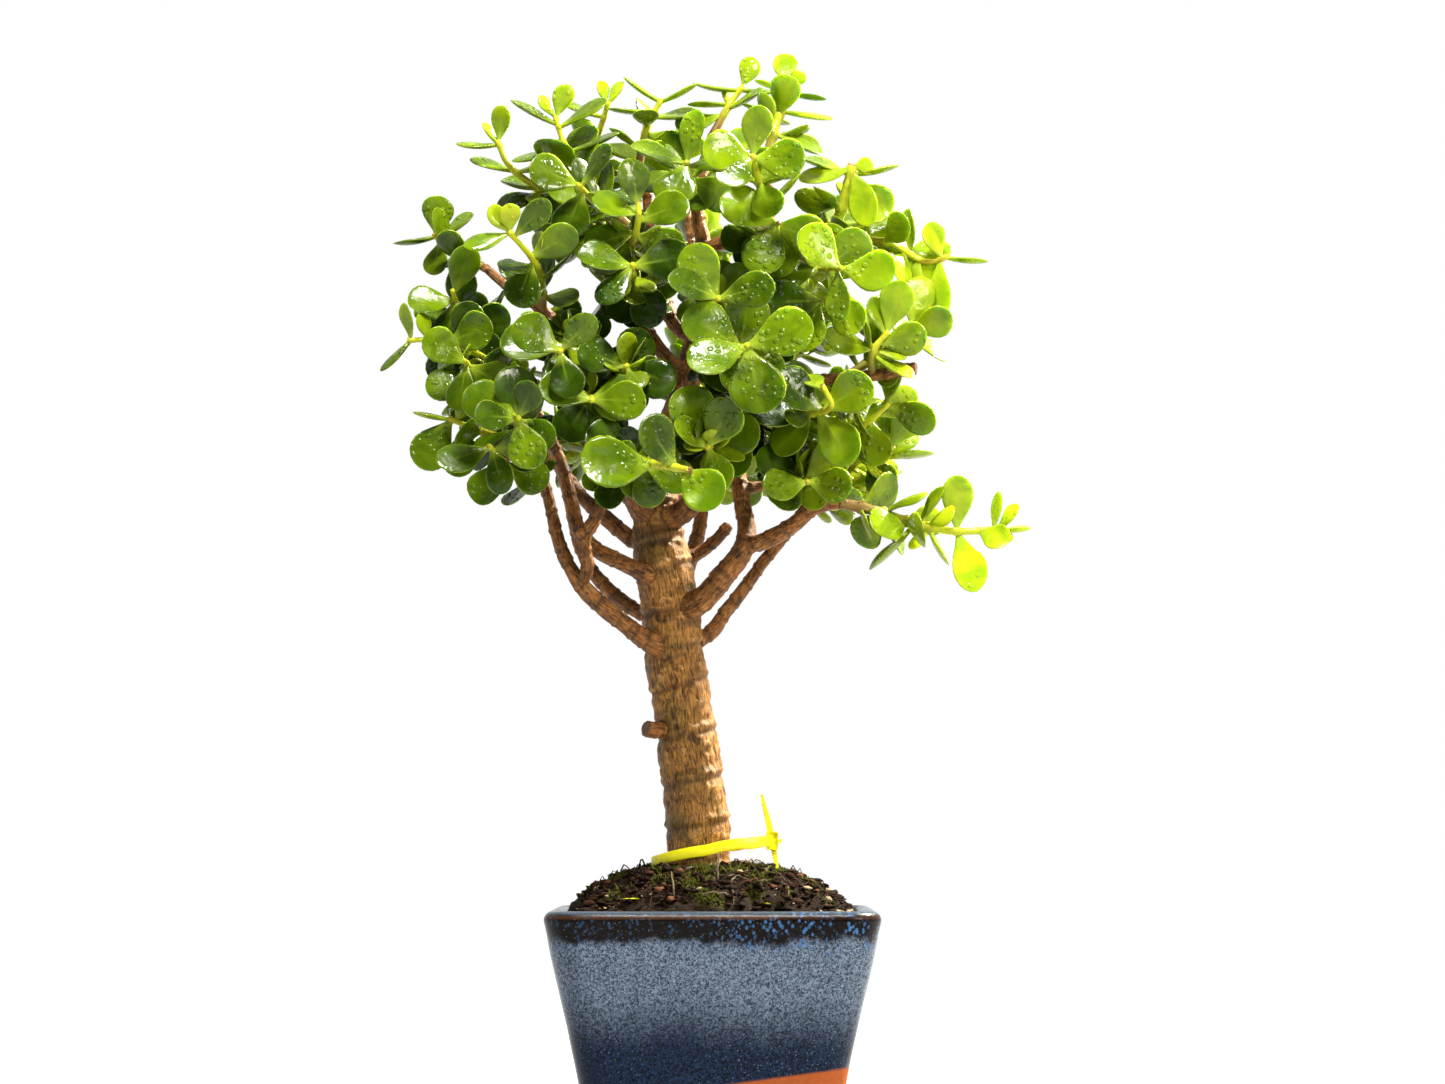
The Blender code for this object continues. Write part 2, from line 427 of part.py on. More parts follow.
def keep_largest_body(obj):
    """Removes bodies that a cut left loose, keeping the one with the largest volume."""
    work = bmesh.new()
    work.from_mesh(obj.data)
    bmesh.ops.triangulate(work, faces=work.faces)
    left = set(work.faces)
    bodies = []
    while left:
        body = {left.pop()}
        edge = list(body)
        while edge:
            face = edge.pop()
            for side in face.edges:
                for other in side.link_faces:
                    if other in left:
                        left.discard(other)
                        body.add(other)
                        edge.append(other)
        bodies.append(body)
    bodies.sort(key=lambda body: -abs(volume(body)))
    for body in bodies[1:]:
        bmesh.ops.delete(work, geom=list(body), context="FACES")
    loose = [v for v in work.verts if not v.link_faces]
    bmesh.ops.delete(work, geom=loose, context="VERTS")
    work.to_mesh(obj.data)
    work.free()


def volume(faces):
    total = 0.0
    for face in faces:
        a, b, c = (v.co for v in face.verts)
        total += a.dot(b.cross(c)) / 6.0
    return total


def shade(obj, degrees):
    obj.data.shade_smooth()
    obj.data.set_sharp_from_angle(angle=math.radians(degrees))


def tube(points, radii, sides, turn=0.0):
    """Closed tube through world points, with a slightly domed cap at each end."""
    verts = []
    faces = []
    normal = None
    last = len(points) - 1
    for index, point in enumerate(points):
        ahead = points[min(index + 1, last)]
        behind = points[max(index - 1, 0)]
        axis = (ahead - behind).normalized()
        if normal is None:
            helper = Vector((0, 0, 1)) if abs(axis.z) < 0.8 else Vector((1, 0, 0))
            normal = helper - axis * helper.dot(axis)
        else:
            normal = normal - axis * normal.dot(axis)
        normal.normalize()
        side = axis.cross(normal)
        for step in range(sides):
            angle = math.tau * step / sides + turn
            offset = normal * math.cos(angle) + side * math.sin(angle)
            verts.append(point + offset * radii[index])
    for index in range(last):
        for step in range(sides):
            a = index * sides + step
            b = index * sides + (step + 1) % sides
            faces.append((a, b, b + sides, a + sides))
    for end, ring in ((0, 0), (last, last * sides)):
        out = (points[0] - points[1]) if end == 0 else (points[last] - points[last - 1])
        tip = points[end] + out.normalized() * radii[end] * CAP_DOME
        verts.append(tip)
        tip_index = len(verts) - 1
        for step in range(sides):
            a = ring + step
            b = ring + (step + 1) % sides
            faces.append((b, a, tip_index) if end == 0 else (a, b, tip_index))
    return verts, faces


def nearest_on_path(path, point):
    """Nearest point of a polyline, with its index and the share along that stretch."""
    best = None
    for index in range(len(path) - 1):
        start = path[index]
        run = path[index + 1] - start
        share = max(0.0, min(1.0, (point - start).dot(run) / run.length_squared))
        spot = start + run * share
        gap = (spot - point).length
        if best is None or gap < best[0]:
            best = (gap, spot, index, share)
    return best


def along_path(path, share):
    """Point and direction at a share of a polyline's length."""
    lengths = [(b - a).length for a, b in zip(path, path[1:])]
    left = share * sum(lengths)
    for index, length in enumerate(lengths):
        if left <= length or index == len(lengths) - 1:
            axis = (path[index + 1] - path[index]).normalized()
            return path[index] + axis * min(left, length), axis
        left -= length


# ---- pot, mesh and soil ----------------------------------------------------------------------
def rounded_square(half, corner, height, steps):
    """Anticlockwise ring of a rounded square, in metres."""
    ring = []
    corner = min(corner, half * 0.9)
    for quarter in range(4):
        middle = math.radians(45 + 90 * quarter)
        cx = math.copysign(half - corner, math.cos(middle))
        cy = math.copysign(half - corner, math.sin(middle))
        for step in range(steps + 1):
            angle = math.radians(90 * quarter + 90 * step / steps)
            x = cx + corner * math.cos(angle)
            y = cy + corner * math.sin(angle)
            ring.append(Vector((x * MM, y * MM, height * MM)))
    return ring


def outer_half(height):
    """Half width of the pot's outer wall at a height."""
    share = height / POT_HEIGHT
    return (POT_BASE_WIDTH + (POT_WIDTH - 2 * POT_LIP_SWELL - POT_BASE_WIDTH) * share) / 2


def inner_half(height):
    return outer_half(height) - POT_WALL


def stack_rings(rings):
    """Closed skin through rings of equal count, with a face over the first and the last."""
    count = len(rings[0])
    verts = [point for ring in rings for point in ring]
    faces = [tuple(reversed(range(count)))]
    for level in range(len(rings) - 1):
        low = level * count
        for step in range(count):
            after = (step + 1) % count
            faces.append((low + step, low + after, low + count + after, low + count + step))
    top = (len(rings) - 1) * count
    faces.append(tuple(range(top, top + count)))
    return verts, faces


def wall_half(height):
    """Half width of the outer wall with its slight belly, which is fullest near the rim."""
    share = height / POT_HEIGHT
    return outer_half(height) + POT_BELLY * math.sin(math.pi * share ** 3)


def build_pot():
    lip_low = POT_HEIGHT - POT_LIP_DEPTH
    wide = POT_WIDTH / 2
    inside = inner_half(POT_HEIGHT)
    middle = (wide + inside) / 2
    reach = (wide - inside) / 2
    foot = POT_FOOT_ROUND
    profile = [(outer_half(0) - foot, 0.0), (outer_half(0) - foot / 4, foot / 4), (outer_half(foot), foot)]
    for share in (0.3, 0.6, 0.85, 1.0):
        profile.append((wall_half(lip_low * share), lip_low * share))
    for degrees in (0, 35, 65, 90, 115, 145, 180):
        angle = math.radians(degrees)
        height = POT_HEIGHT - reach + reach * math.sin(angle)
        profile.append((middle + reach * math.cos(angle), height))
    profile.append((inner_half(lip_low), lip_low))
    profile.append((inner_half(POT_FLOOR + POT_FLOOR_ROUND), POT_FLOOR + POT_FLOOR_ROUND))
    profile.append((inner_half(POT_FLOOR) - POT_FLOOR_ROUND, POT_FLOOR))
    rings = []
    for half, height in profile:
        corner = corner_radius(outer_half(height) - half)
        rings.append(rounded_square(half, corner, height, POT_CORNER_STEPS))
    verts, faces = stack_rings(rings)
    pot = make_object("pot", verts, faces, GLAZE)
    for side in (-1, 1):
        spot = Vector((side * DRAIN_SPACING / 2 * MM, 0, POT_FLOOR / 2 * MM))
        ends = [spot - Vector((0, 0, POT_FLOOR * MM)), spot + Vector((0, 0, POT_FLOOR * MM))]
        hole = make_object("hole", *tube(ends, [DRAIN_HOLE / 2 * MM] * 2, DRAIN_SIDES))
        combine(pot, hole, "DIFFERENCE")
    shade(pot, 40)
    return pot


def corner_radius(inset):
    """Radius of the pot's corners at a distance inside its outer wall."""
    return max(POT_CORNER - inset * 0.8, POT_CORNER / 4)


def box_verts(low, high):
    corners = [(x, y, z) for x in (low[0], high[0]) for y in (low[1], high[1])
               for z in (low[2], high[2])]
    faces = [(0, 1, 3, 2), (4, 6, 7, 5), (0, 4, 5, 1), (2, 3, 7, 6), (0, 2, 6, 4), (1, 5, 7, 3)]
    return [Vector(c) * MM for c in corners], faces


def mesh_box():
    """Corners of the drain mesh, in millimetres."""
    long_half = DRAIN_SPACING / 2 + DRAIN_HOLE / 2 + MESH_MARGIN
    short_half = DRAIN_HOLE / 2 + MESH_MARGIN
    low = POT_FLOOR + SEAT_GAP
    return (-long_half, -short_half, low), (long_half, short_half, low + MESH_THICKNESS)


def build_drain_mesh():
    low, high = mesh_box()
    mesh = make_object("drain_mesh", *box_verts(low, high), MESH_BLACK)
    for side in (-1, 1):
        start = side * DRAIN_SPACING / 2 - DRAIN_HOLE / 2
        pitch = (DRAIN_HOLE - MESH_BAR) / MESH_SLOTS
        for column in range(MESH_SLOTS):
            left = start + MESH_BAR + column * pitch
            slot = make_object("slot", *box_verts(
                (left, -DRAIN_HOLE / 2 + MESH_BAR, low[2] - 1),
                (left + pitch - MESH_BAR, DRAIN_HOLE / 2 - MESH_BAR, high[2] + 1)))
            combine(mesh, slot, "DIFFERENCE")
    return mesh


def soil_height(x, y):
    """Height of the soil surface at a point, in millimetres."""
    edge = inner_half(POT_HEIGHT)
    foot = plant_point(*TRUNK[0][:3]) / MM
    reach = max(abs(x), abs(y)) / edge
    round_reach = math.hypot(x - foot.x * 0.6, y) / edge
    share = min(1.0, 0.55 * reach + 0.45 * round_reach)
    low = POT_HEIGHT - SOIL_BELOW_LIP
    crown = soil_line() - low
    bump = noise.noise(Vector((x * 0.12, y * 0.12, 3.0))) * SOIL_BUMP
    return low + crown * (1 - share ** SOIL_HEAP) + bump * (1 - share ** 4)


def trunk_base_radius():
    return TRUNK[0][3] * TRUNK_RADIUS * ROOT_FLARE


def build_soil():
    foot = plant_point(*TRUNK[0][:3]) / MM
    socket = trunk_base_radius() + SOCKET_GAP
    edge_low = POT_HEIGHT - SOIL_BELOW_LIP
    rings = []
    for inset, height in ((SOIL_FOOT_INSET, POT_FLOOR + SEAT_GAP), (SEAT_GAP, POT_FLOOR + SOIL_FOOT_INSET),
                          (SEAT_GAP, POT_HEIGHT - POT_LIP_DEPTH), (2 * SEAT_GAP, edge_low)):
        half = inner_half(height) - inset
        rings.append(square_ring(half, corner_radius(POT_WALL + inset), height))
    outer = rings[-1]
    for share in SOIL_RINGS:
        ring = []
        for step in range(SOIL_STEPS):
            start = outer[step] / MM
            angle = math.atan2(start.y, start.x)
            end = Vector((foot.x + socket * math.cos(angle), foot.y + socket * math.sin(angle), 0))
            x = start.x + (end.x - start.x) * share
            y = start.y + (end.y - start.y) * share
            ring.append(Vector((x, y, soil_height(x, y))) * MM)
        rings.append(ring)
    ring = []
    for point in rings[-1]:
        ring.append(Vector((point.x, point.y, (soil_line() - SOCKET_DEPTH) * MM)))
    rings.append(ring)
    verts, faces = stack_rings(rings)
    soil = make_object("soil", verts, faces, EARTH)
    low, high = mesh_box()
    gap = SEAT_GAP
    recess = make_object("recess", *box_verts(
        (low[0] - gap, low[1] - gap, low[2] - 5), (high[0] + gap, high[1] + gap, high[2] + gap)))
    combine(soil, recess, "DIFFERENCE")
    shade(soil, 60)
    return soil


def square_ring(half, corner, height):
    """Rounded square of SOIL_STEPS points, spaced by angle from its middle."""
    ring = []
    for step in range(SOIL_STEPS):
        angle = math.tau * (step + 0.5) / SOIL_STEPS
        c, s = math.cos(angle), math.sin(angle)
        reach = half / max(abs(c), abs(s))
        x, y = reach * c, reach * s
        limit = half - corner
        if abs(x) > limit and abs(y) > limit:
            centre = Vector((math.copysign(limit, x), math.copysign(limit, y)))
            ray = Vector((c, s))
            dot = ray.dot(centre)
            reach = dot + math.sqrt(max(0.0, dot * dot - centre.length_squared + corner ** 2))
            x, y = reach * c, reach * s
        ring.append(Vector((x * MM, y * MM, height * MM)))
    return ring


# ---- wood ------------------------------------------------------------------------------------
def limb_paths():
    """World points and radii of the trunk, the limbs and the pruned twigs."""
    trunk_points = [plant_point(*p[:3]) for p in TRUNK]
    trunk_radii = [p[3] * TRUNK_RADIUS * MM for p in TRUNK]
    base = trunk_points[0]
    flare = trunk_base_radius() * MM
    depth = (soil_line() - SOCKET_DEPTH + SEAT_GAP) * MM + flare * CAP_DOME
    trunk_points[0:0] = [Vector((base.x, base.y, depth)), Vector((base.x, base.y, base.z - 0.003))]
    trunk_radii[0:0] = [flare * 0.86, flare * 0.98]
    paths = {"trunk": (trunk_points, trunk_radii)}
    for name, (parent, drawn) in LIMBS.items():
        points = [plant_point(*p[:3]) for p in drawn]
        radii = [p[3] * LIMB_SCALE * MM for p in drawn]
        root, radius = rooted(paths[parent], points[0], points[1])
        points.insert(0, root)
        radii.insert(0, min(radius * 0.75, radii[0] * 1.2))
        paths[name] = (points, radii)
    for index, (parent, foot, end, radius) in enumerate(CUT_TWIGS):
        spot = nearest_on_path(paths[parent][0], plant_point(*foot))[1]
        half = (plant_point(*foot) + plant_point(*end)) / 2
        radii = [radius * LIMB_SCALE * MM] * 3
        paths[f"cut_twig_{index}"] = ([spot, half, plant_point(*end)], radii)
    return paths


def rooted(parent, leaves_at, ahead):
    """Point inside the parent from which a limb sets out, and the parent's radius there."""
    points, radii = parent
    gap, spot = nearest_on_path(points, leaves_at)[:2]
    back = (leaves_at - ahead).normalized() * gap * 0.5
    spot, index, share = nearest_on_path(points, spot + back)[1:]
    radius = radii[index] * (1 - share) + radii[index + 1] * share
    return spot, radius


def build_wood(paths, name, extra):
    """The trunk with its limbs as one body. extra widens every piece, in metres."""
    trunk_points, trunk_radii = paths["trunk"]
    wood = None
    for index, (limb, (points, radii)) in enumerate(paths.items()):
        sides = TRUNK_SIDES if limb == "trunk" else LIMB_SIDES
        wide = [radius + extra for radius in radii]
        if extra:
            points = list(points)
            points[-1] = points[-1] + (points[-1] - points[-2]).normalized() * extra
        verts, faces = tube(points, wide, sides, turn=0.37 * index)
        piece = make_object("limb", verts, faces)
        if wood is None:
            wood = piece
            wood.name = name
        else:
            combine(wood, piece, "UNION")
    return wood


# ---- strap round the trunk -------------------------------------------------------------------
def strap_loop():
    """Middle of the strap's loop and its half sizes, clear of the trunk up to the strap's top."""
    points, radii = limb_paths()["trunk"]
    foot = plant_point(*TRUNK[0][:3])
    top = (soil_line() + STRAP_LIFT + 2 * STRAP_WIDTH) * MM
    wide = 0.0
    deep = 0.0
    for index in range(len(points) - 1):
        for share in (0.0, 0.25, 0.5, 0.75, 1.0):
            point = points[index].lerp(points[index + 1], share)
            radius = radii[index] + (radii[index + 1] - radii[index]) * share
            if foot.z - MM <= point.z <= top:
                wide = max(wide, (abs(point.x - foot.x) + radius) / MM)
                deep = max(deep, (abs(point.y - foot.y) + radius) / MM)
    across = wide + STRAP_SPARE
    near = deep + SEAT_GAP + STRAP_SLACK + STRAP_THICKNESS / 2
    near = near / math.sqrt(1 - (STRAP_SHIFT / across) ** 2)
    return foot.x / MM + STRAP_SHIFT, foot.y / MM, across, near


def strap_height(x, y, loop):
    """Height of the strap's middle line: laid on the soil at the left, held up at the right."""
    ground = 0.0
    for dx in (-STRAP_THICKNESS, 0.0, STRAP_THICKNESS):
        for dy in (-STRAP_THICKNESS, 0.0, STRAP_THICKNESS):
            ground = max(ground, soil_height(x + dx, y + dy))
    lift = STRAP_LIFT * max(0.0, min(1.0, (x - loop[0] + loop[2]) / (2 * loop[2])))
    return ground + SEAT_GAP + SOIL_BUMP * STRAP_BUMP_SHARE + STRAP_WIDTH / 2 + lift


def strap_head(loop):
    """Middle of the strap's head, in millimetres."""
    x = loop[0] + loop[2] - STRAP_THICKNESS
    y = loop[1] - loop[3] * STRAP_HEAD_FRONT
    return Vector((x, y, strap_height(x, y, loop)))


def strap_tails(loop):
    """Middle line and half widths of the tail above the head and of the short end below it."""
    head = strap_head(loop)
    half = STRAP_WIDTH / 2
    up = [head + Vector(place[:3]) * STRAP_TAIL for place in STRAP_UP_TAIL]
    up_widths = [half * place[3] for place in STRAP_UP_TAIL]
    end = head + Vector(STRAP_DOWN_SHIFT)
    end.z = soil_height(end.x, end.y) + SEAT_GAP + SOIL_BUMP * STRAP_BUMP_SHARE
    down = [head, head.lerp(end, 0.5), end]
    down_widths = [half * share for share in STRAP_DOWN_WIDTHS]
    return (up, up_widths), (down, down_widths)


def build_strap():
    """Yellow strap: a loose loop round the trunk's foot, its head at the right with both tails."""
    loop = strap_loop()
    thick = STRAP_THICKNESS
    rings = []
    for step in range(STRAP_STEPS):
        angle = math.tau * step / STRAP_STEPS
        x = loop[0] + loop[2] * math.cos(angle)
        y = loop[1] + loop[3] * math.sin(angle)
        rise = strap_height(x, y, loop)
        out = Vector((math.cos(angle) / loop[2], math.sin(angle) / loop[3], 0)).normalized()
        ring = []
        for across, up in ((-1, -1), (1, -1), (1, 1), (-1, 1)):
            shift = out * across * thick / 2
            ring.append(Vector((x, y, rise + up * STRAP_WIDTH / 2)) * MM + shift * MM)
        rings.append(ring)
    verts = [point for ring in rings for point in ring]
    faces = []
    for step in range(STRAP_STEPS):
        after = (step + 1) % STRAP_STEPS
        for side in range(4):
            other = (side + 1) % 4
            faces.append((step * 4 + side, step * 4 + other, after * 4 + other, after * 4 + side))
    strap = make_object("strap", verts, [tuple(reversed(face)) for face in faces], STRAP_YELLOW)
    size = STRAP_HEAD / 2
    half = Vector((size * STRAP_HEAD_WIDE, size * STRAP_HEAD_DEEP, size))
    middle = strap_head(loop)
    combine(strap, make_object("head", *box_verts(middle - half, middle + half)), "UNION")
    for points, widths in strap_tails(loop):
        rings = []
        for point, wide in zip(points, widths):
            rings.append([(point + Vector((dx * wide, dy * thick * STRAP_TAIL_THICK, 0))) * MM
                          for dx, dy in ((-1, -1), (1, -1), (1, 1), (-1, 1))])
        if points[-1].z < points[0].z:
            rings.reverse()
        combine(strap, make_object("tail", *stack_rings(rings)), "UNION")
    return strap


# ---- leaves ----------------------------------------------------------------------------------
# Outline of half a leaf: share of the length, share of half the width.
LEAF_OUTLINE = [(0.0, 0.0), (0.46, 0.9), (0.86, 0.84), (1.0, 0.0)]
LEAF_TOP = 0.62
LEAF_CUP = 0.06
# Where a leaf's base sits inside its stem, as a share of the stem's radius from the middle.
LEAF_SINK = 0.5


def leaf_mesh(base, along, face, length, width, thickness, grow=0.0):
    """Fleshy leaf: obovate outline with an upper and a lower crown. grow widens it all round."""
    side = along.cross(face).normalized()
    middle = base + along * length * 0.5
    verts = []
    rim = list(LEAF_OUTLINE)
    rim += [(a, -w) for a, w in reversed(LEAF_OUTLINE[1:-1])]
    for share, wide in rim:
        spot = base + along * length * share + side * wide * width / 2
        spot += face * length * LEAF_CUP * share * share
        if grow:
            spot += (spot - middle).normalized() * grow
        verts.append(spot)
    lift = face * (thickness / 2 + grow)
    crown = base + along * length * LEAF_TOP + face * length * LEAF_CUP * LEAF_TOP ** 2
    verts.append(crown + lift * 0.7)
    verts.append(crown - lift * 1.3)
    count = len(rim)
    faces = []
    for step in range(count):
        after = (step + 1) % count
        faces.append((after, step, count))
        faces.append((step, after, count + 1))
    return verts, faces


class Room:
    """What already stands: a new leaf is only set where it touches none of it."""

    def __init__(self):
        self.items = []

    def add(self, owner, verts, faces):
        tree = BVHTree.FromPolygons([tuple(v) for v in verts], faces)
        self.items.append((owner, tree, *bounds(verts)))

    def is_clear(self, owner, verts, faces):
        low, high = bounds(verts)
        tree = None
        for other, other_tree, other_low, other_high in self.items:
            if other == owner:
                continue
            if any(low[k] > other_high[k] or high[k] < other_low[k] for k in range(3)):
                continue
            if tree is None:
                tree = BVHTree.FromPolygons([tuple(v) for v in verts], faces)
            if tree.overlap(other_tree):
                return False
        return True


def bounds(verts):
    low = [min(v[k] for v in verts) for k in range(3)]
    high = [max(v[k] for v in verts) for k in range(3)]
    return low, high


def object_parts(obj):
    verts = [v.co.copy() for v in obj.data.vertices]
    faces = [tuple(p.vertices) for p in obj.data.polygons]
    return verts, faces


def leaf_axes(angle, lean, roll):
    """Direction and face of a leaf from its angle in the front view, its lean and its roll."""
    a, b = math.radians(angle), math.radians(lean)
    along = Vector((math.cos(a) * math.cos(b), -math.sin(b), math.sin(a) * math.cos(b)))
    face = Vector((0.0, -1.0, 0.3))
    face = (face - along * face.dot(along)).normalized()
    face = Matrix.Rotation(math.radians(roll), 3, along) @ face
    if face.z < 0 and roll > 25:
        face = Matrix.Rotation(math.radians(-2 * roll), 3, along) @ face
    return along, face


class Shoot:
    """One leafy shoot: its stem path, its stem mesh and the leaves that found room."""

    def __init__(self, name, limb, points, drawn, paths):
        self.name = "shoot_" + name
        self.drawn = drawn
        path = [plant_point(*p) for p in points]
        limb_points, limb_radii = paths[limb]
        spot, index = nearest_on_path(limb_points, path[0])[1:3]
        path[0] = spot
        self.path = path
        self.leaves = []
        self.foot_radius = limb_radii[index + 1]
        last = len(path) - 1
        taper = (STEM_TIP_RADIUS - STEM_RADIUS) / last
        self.radii = [(STEM_RADIUS + taper * k) * MM for k in range(last + 1)]
        self.length = sum((b - a).length for a, b in zip(path, path[1:]))

    def build_stem(self, wide_wood):
        verts, faces = tube(self.path, self.radii, STEM_SIDES, turn=0.2)
        self.stem = make_object(self.name, verts, faces, LEAF_GREEN)
        cutter = wide_wood.copy()
        cutter.data = wide_wood.data.copy()
        bpy.context.scene.collection.objects.link(cutter)
        combine(self.stem, cutter, "DIFFERENCE")
        keep_largest_body(self.stem)

    def try_leaf(self, room, share, along, face, length, width):
        """Sets a leaf on the stem if it has room; says whether it did."""
        share = min(share, 1 - 1.5 * self.radii[-1] / self.length)
        spot, axis = along_path(self.path, share)
        radius = self.radii[0] + (self.radii[-1] - self.radii[0]) * share
        base = spot + along * LEAF_SINK * radius / max(along.cross(axis).length, 0.5)
        thickness = LEAF_THICKNESS * MM
        args = (base, along, face, length * MM, width * MM, thickness)
        verts, faces = leaf_mesh(*args, grow=LEAF_GAP * MM)
        if not room.is_clear(self.name, verts, faces):
            return False
        middle = base + along * length * 0.6 * MM
        for other in self.leaves:
            far = (other["middle"] - middle).length
            if far < 0.42 * (length + other["length"]) / 2 * MM:
                return False
        verts, faces = leaf_mesh(*args)
        room.add(self.name, verts, faces)
        self.leaves.append({"mesh": (verts, faces), "middle": middle, "length": length})
        return True

    def finish(self):
        """Joins the leaves to the stem as one body."""
        verts = []
        faces = []
        for leaf in self.leaves:
            start = len(verts)
            leaf_verts, leaf_faces = leaf["mesh"]
            verts += leaf_verts
            faces += [tuple(i + start for i in face) for face in leaf_faces]
        if verts:
            blades = make_object("blades", verts, faces)
            combine(self.stem, blades, "UNION", self_crossing=True)
            keep_largest_body(self.stem)
        shade(self.stem, 50)


def place_drawn(shoot, room):
    """Leaves drawn one by one; each is turned or made smaller until it has room."""
    size = LEAF_LENGTH / DRAWN_LEAF
    for share, angle, length, width, lean, roll in shoot.drawn:
        for turn, tip, shrink in ((0, 0, 1), (0, 12, 1), (0, -12, 1), (8, 0, 0.95), (-8, 0, 0.95),
                                  (0, 24, 0.9), (12, 12, 0.9), (-12, 12, 0.9), (0, 0, 0.8),
                                  (15, -12, 0.8), (-15, 30, 0.8), (0, 40, 0.75)):
            along, face = leaf_axes(angle + turn, lean + tip, roll)
            scale = size * shrink
            if shoot.try_leaf(room, share, along, face, length * scale, width * scale):
                break


def place_pairs(shoot, room, dice, first, last, pitch):
    """Opposite pairs of leaves up the stem, each pair turned a quarter from the one below."""
    size = LEAF_LENGTH / DRAWN_LEAF
    spacing = pitch * MM / shoot.length
    share = last
    quarter = dice.uniform(0, math.tau)
    centre = plant_point(*CROWN_MIDDLE)
    while share > first:
        spot, axis = along_path(shoot.path, share)
        helper = Vector((0, 0, 1)) if abs(axis.z) < 0.8 else Vector((1, 0, 0))
        right = axis.cross(helper).normalized()
        back = axis.cross(right)
        outward = (spot - centre).normalized()
        for half in (0, math.pi):
            age = min(1.0, (1 - share) * shoot.length / (YOUNG_REACH * MM))
            length = dice.uniform(15.5, 20.5) * size * (YOUNG_LEAF + (1 - YOUNG_LEAF) * age)
            width = length * dice.uniform(0.7, 0.86)
            for attempt in range(7):
                angle = quarter + half + dice.uniform(-0.5, 0.5)
                spread = math.radians(dice.uniform(42, 75))
                radial = right * math.cos(angle) + back * math.sin(angle)
                along = (axis * math.cos(spread) + radial * math.sin(spread)).normalized()
                face = axis * 0.7 + outward * 0.8 + Vector((0, -0.1, 0.6))
                face = (face - along * face.dot(along)).normalized()
                face = Matrix.Rotation(dice.uniform(-0.4, 0.4), 3, along) @ face
                shrink = 1.0 - 0.06 * attempt
                if shoot.try_leaf(room, share, along, face, length * shrink, width * shrink):
                    break
        quarter += math.pi / 2 + dice.uniform(-0.15, 0.15)
        share -= spacing


def build_shoots(paths, wood, wide_wood, others):
    shoots = []
    room = Room()
    for name, (limb, points, drawn) in SHOOTS.items():
        shoots.append(Shoot(name, limb, points, drawn, paths))
    for obj in [wood] + others:
        room.add(obj.name, *object_parts(obj))
    for shoot in shoots:
        shoot.build_stem(wide_wood)
        room.add(shoot.name, *object_parts(shoot.stem))
    for shoot in shoots:
        place_drawn(shoot, room)
    dice = random.Random(7)
    for shoot in shoots:
        start = (shoot.foot_radius + 2.5 * MM) / shoot.length
        if shoot.drawn:
            place_pairs(shoot, room, dice, start, 0.55, SHADED_PAIR_SPACING)
        else:
            place_pairs(shoot, room, dice, start, 1.0, PAIR_SPACING)
    for shoot in shoots:
        shoot.finish()
    remove_object(wide_wood)
    return shoots


def main():
    for obj in list(bpy.data.objects):
        bpy.data.objects.remove(obj)
    pot = build_pot()
    drain_mesh = build_drain_mesh()
    soil = build_soil()
    strap = build_strap()
    paths = limb_paths()
    wood = build_wood(paths, "trunk_and_limbs", 0.0)
    keep_largest_body(wood)
    wood.data.materials.append(make_material("trunk_and_limbs", BARK))
    wide_wood = build_wood(paths, "wide_wood", SEAT_GAP * MM)
    shade(wood, 50)
    build_shoots(paths, wood, wide_wood, [pot, soil, strap, drain_mesh])


main()
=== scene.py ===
import math
import random

import bmesh
import bpy
import numpy as np
from mathutils import Matrix, Vector, noise
from mathutils.bvhtree import BVHTree


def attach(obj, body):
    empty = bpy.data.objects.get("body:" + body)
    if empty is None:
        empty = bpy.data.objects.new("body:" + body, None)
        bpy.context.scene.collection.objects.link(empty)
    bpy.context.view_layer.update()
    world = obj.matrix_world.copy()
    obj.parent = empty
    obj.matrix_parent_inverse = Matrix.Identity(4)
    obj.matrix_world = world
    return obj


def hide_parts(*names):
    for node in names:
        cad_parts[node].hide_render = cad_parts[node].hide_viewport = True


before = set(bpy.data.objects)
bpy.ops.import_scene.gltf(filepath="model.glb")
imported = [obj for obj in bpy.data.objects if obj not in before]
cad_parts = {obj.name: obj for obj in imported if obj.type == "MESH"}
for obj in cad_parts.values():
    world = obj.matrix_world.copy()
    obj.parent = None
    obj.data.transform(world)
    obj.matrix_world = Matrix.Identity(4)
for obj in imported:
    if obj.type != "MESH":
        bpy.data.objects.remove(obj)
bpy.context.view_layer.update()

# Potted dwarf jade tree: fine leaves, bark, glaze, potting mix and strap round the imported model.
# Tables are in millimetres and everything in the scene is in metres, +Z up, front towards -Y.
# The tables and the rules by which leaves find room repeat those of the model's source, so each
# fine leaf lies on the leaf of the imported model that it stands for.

MM = 0.001

# ---- sizes shared with the model, in millimetres ------------------------------------------------
POT_WIDTH = 127.0
POT_BASE_WIDTH = 98.0
POT_HEIGHT = 74.0
POT_WALL = 7.0
POT_FLOOR = 8.0
POT_CORNER = 13.0
POT_LIP_SWELL = 0.4
POT_LIP_DEPTH = 9.0
POT_BELLY = 1.1
POT_FOOT_ROUND = 2.6
POT_FLOOR_ROUND = 4.0
DRAIN_HOLE = 15.0
DRAIN_SPACING = 34.0
SOIL_BELOW_LIP = 1.5
SOIL_CROWN = 16.0
SOIL_BUMP = 0.9
SOIL_HEAP = 3.0
SOCKET_DEPTH = 12.0
TREE_HEIGHT = 312.0
DRAWN_HEIGHT = 312.0
TRUNK_RADIUS = 11.5
ROOT_FLARE = 1.18
LIMB_SCALE = 1.0
STEM_RADIUS = 1.7
STEM_TIP_RADIUS = 0.9
LEAF_LENGTH = 18.0
DRAWN_LEAF = 18.0
LEAF_THICKNESS = 2.3
YOUNG_LEAF = 0.5
PAIR_SPACING = 8.5
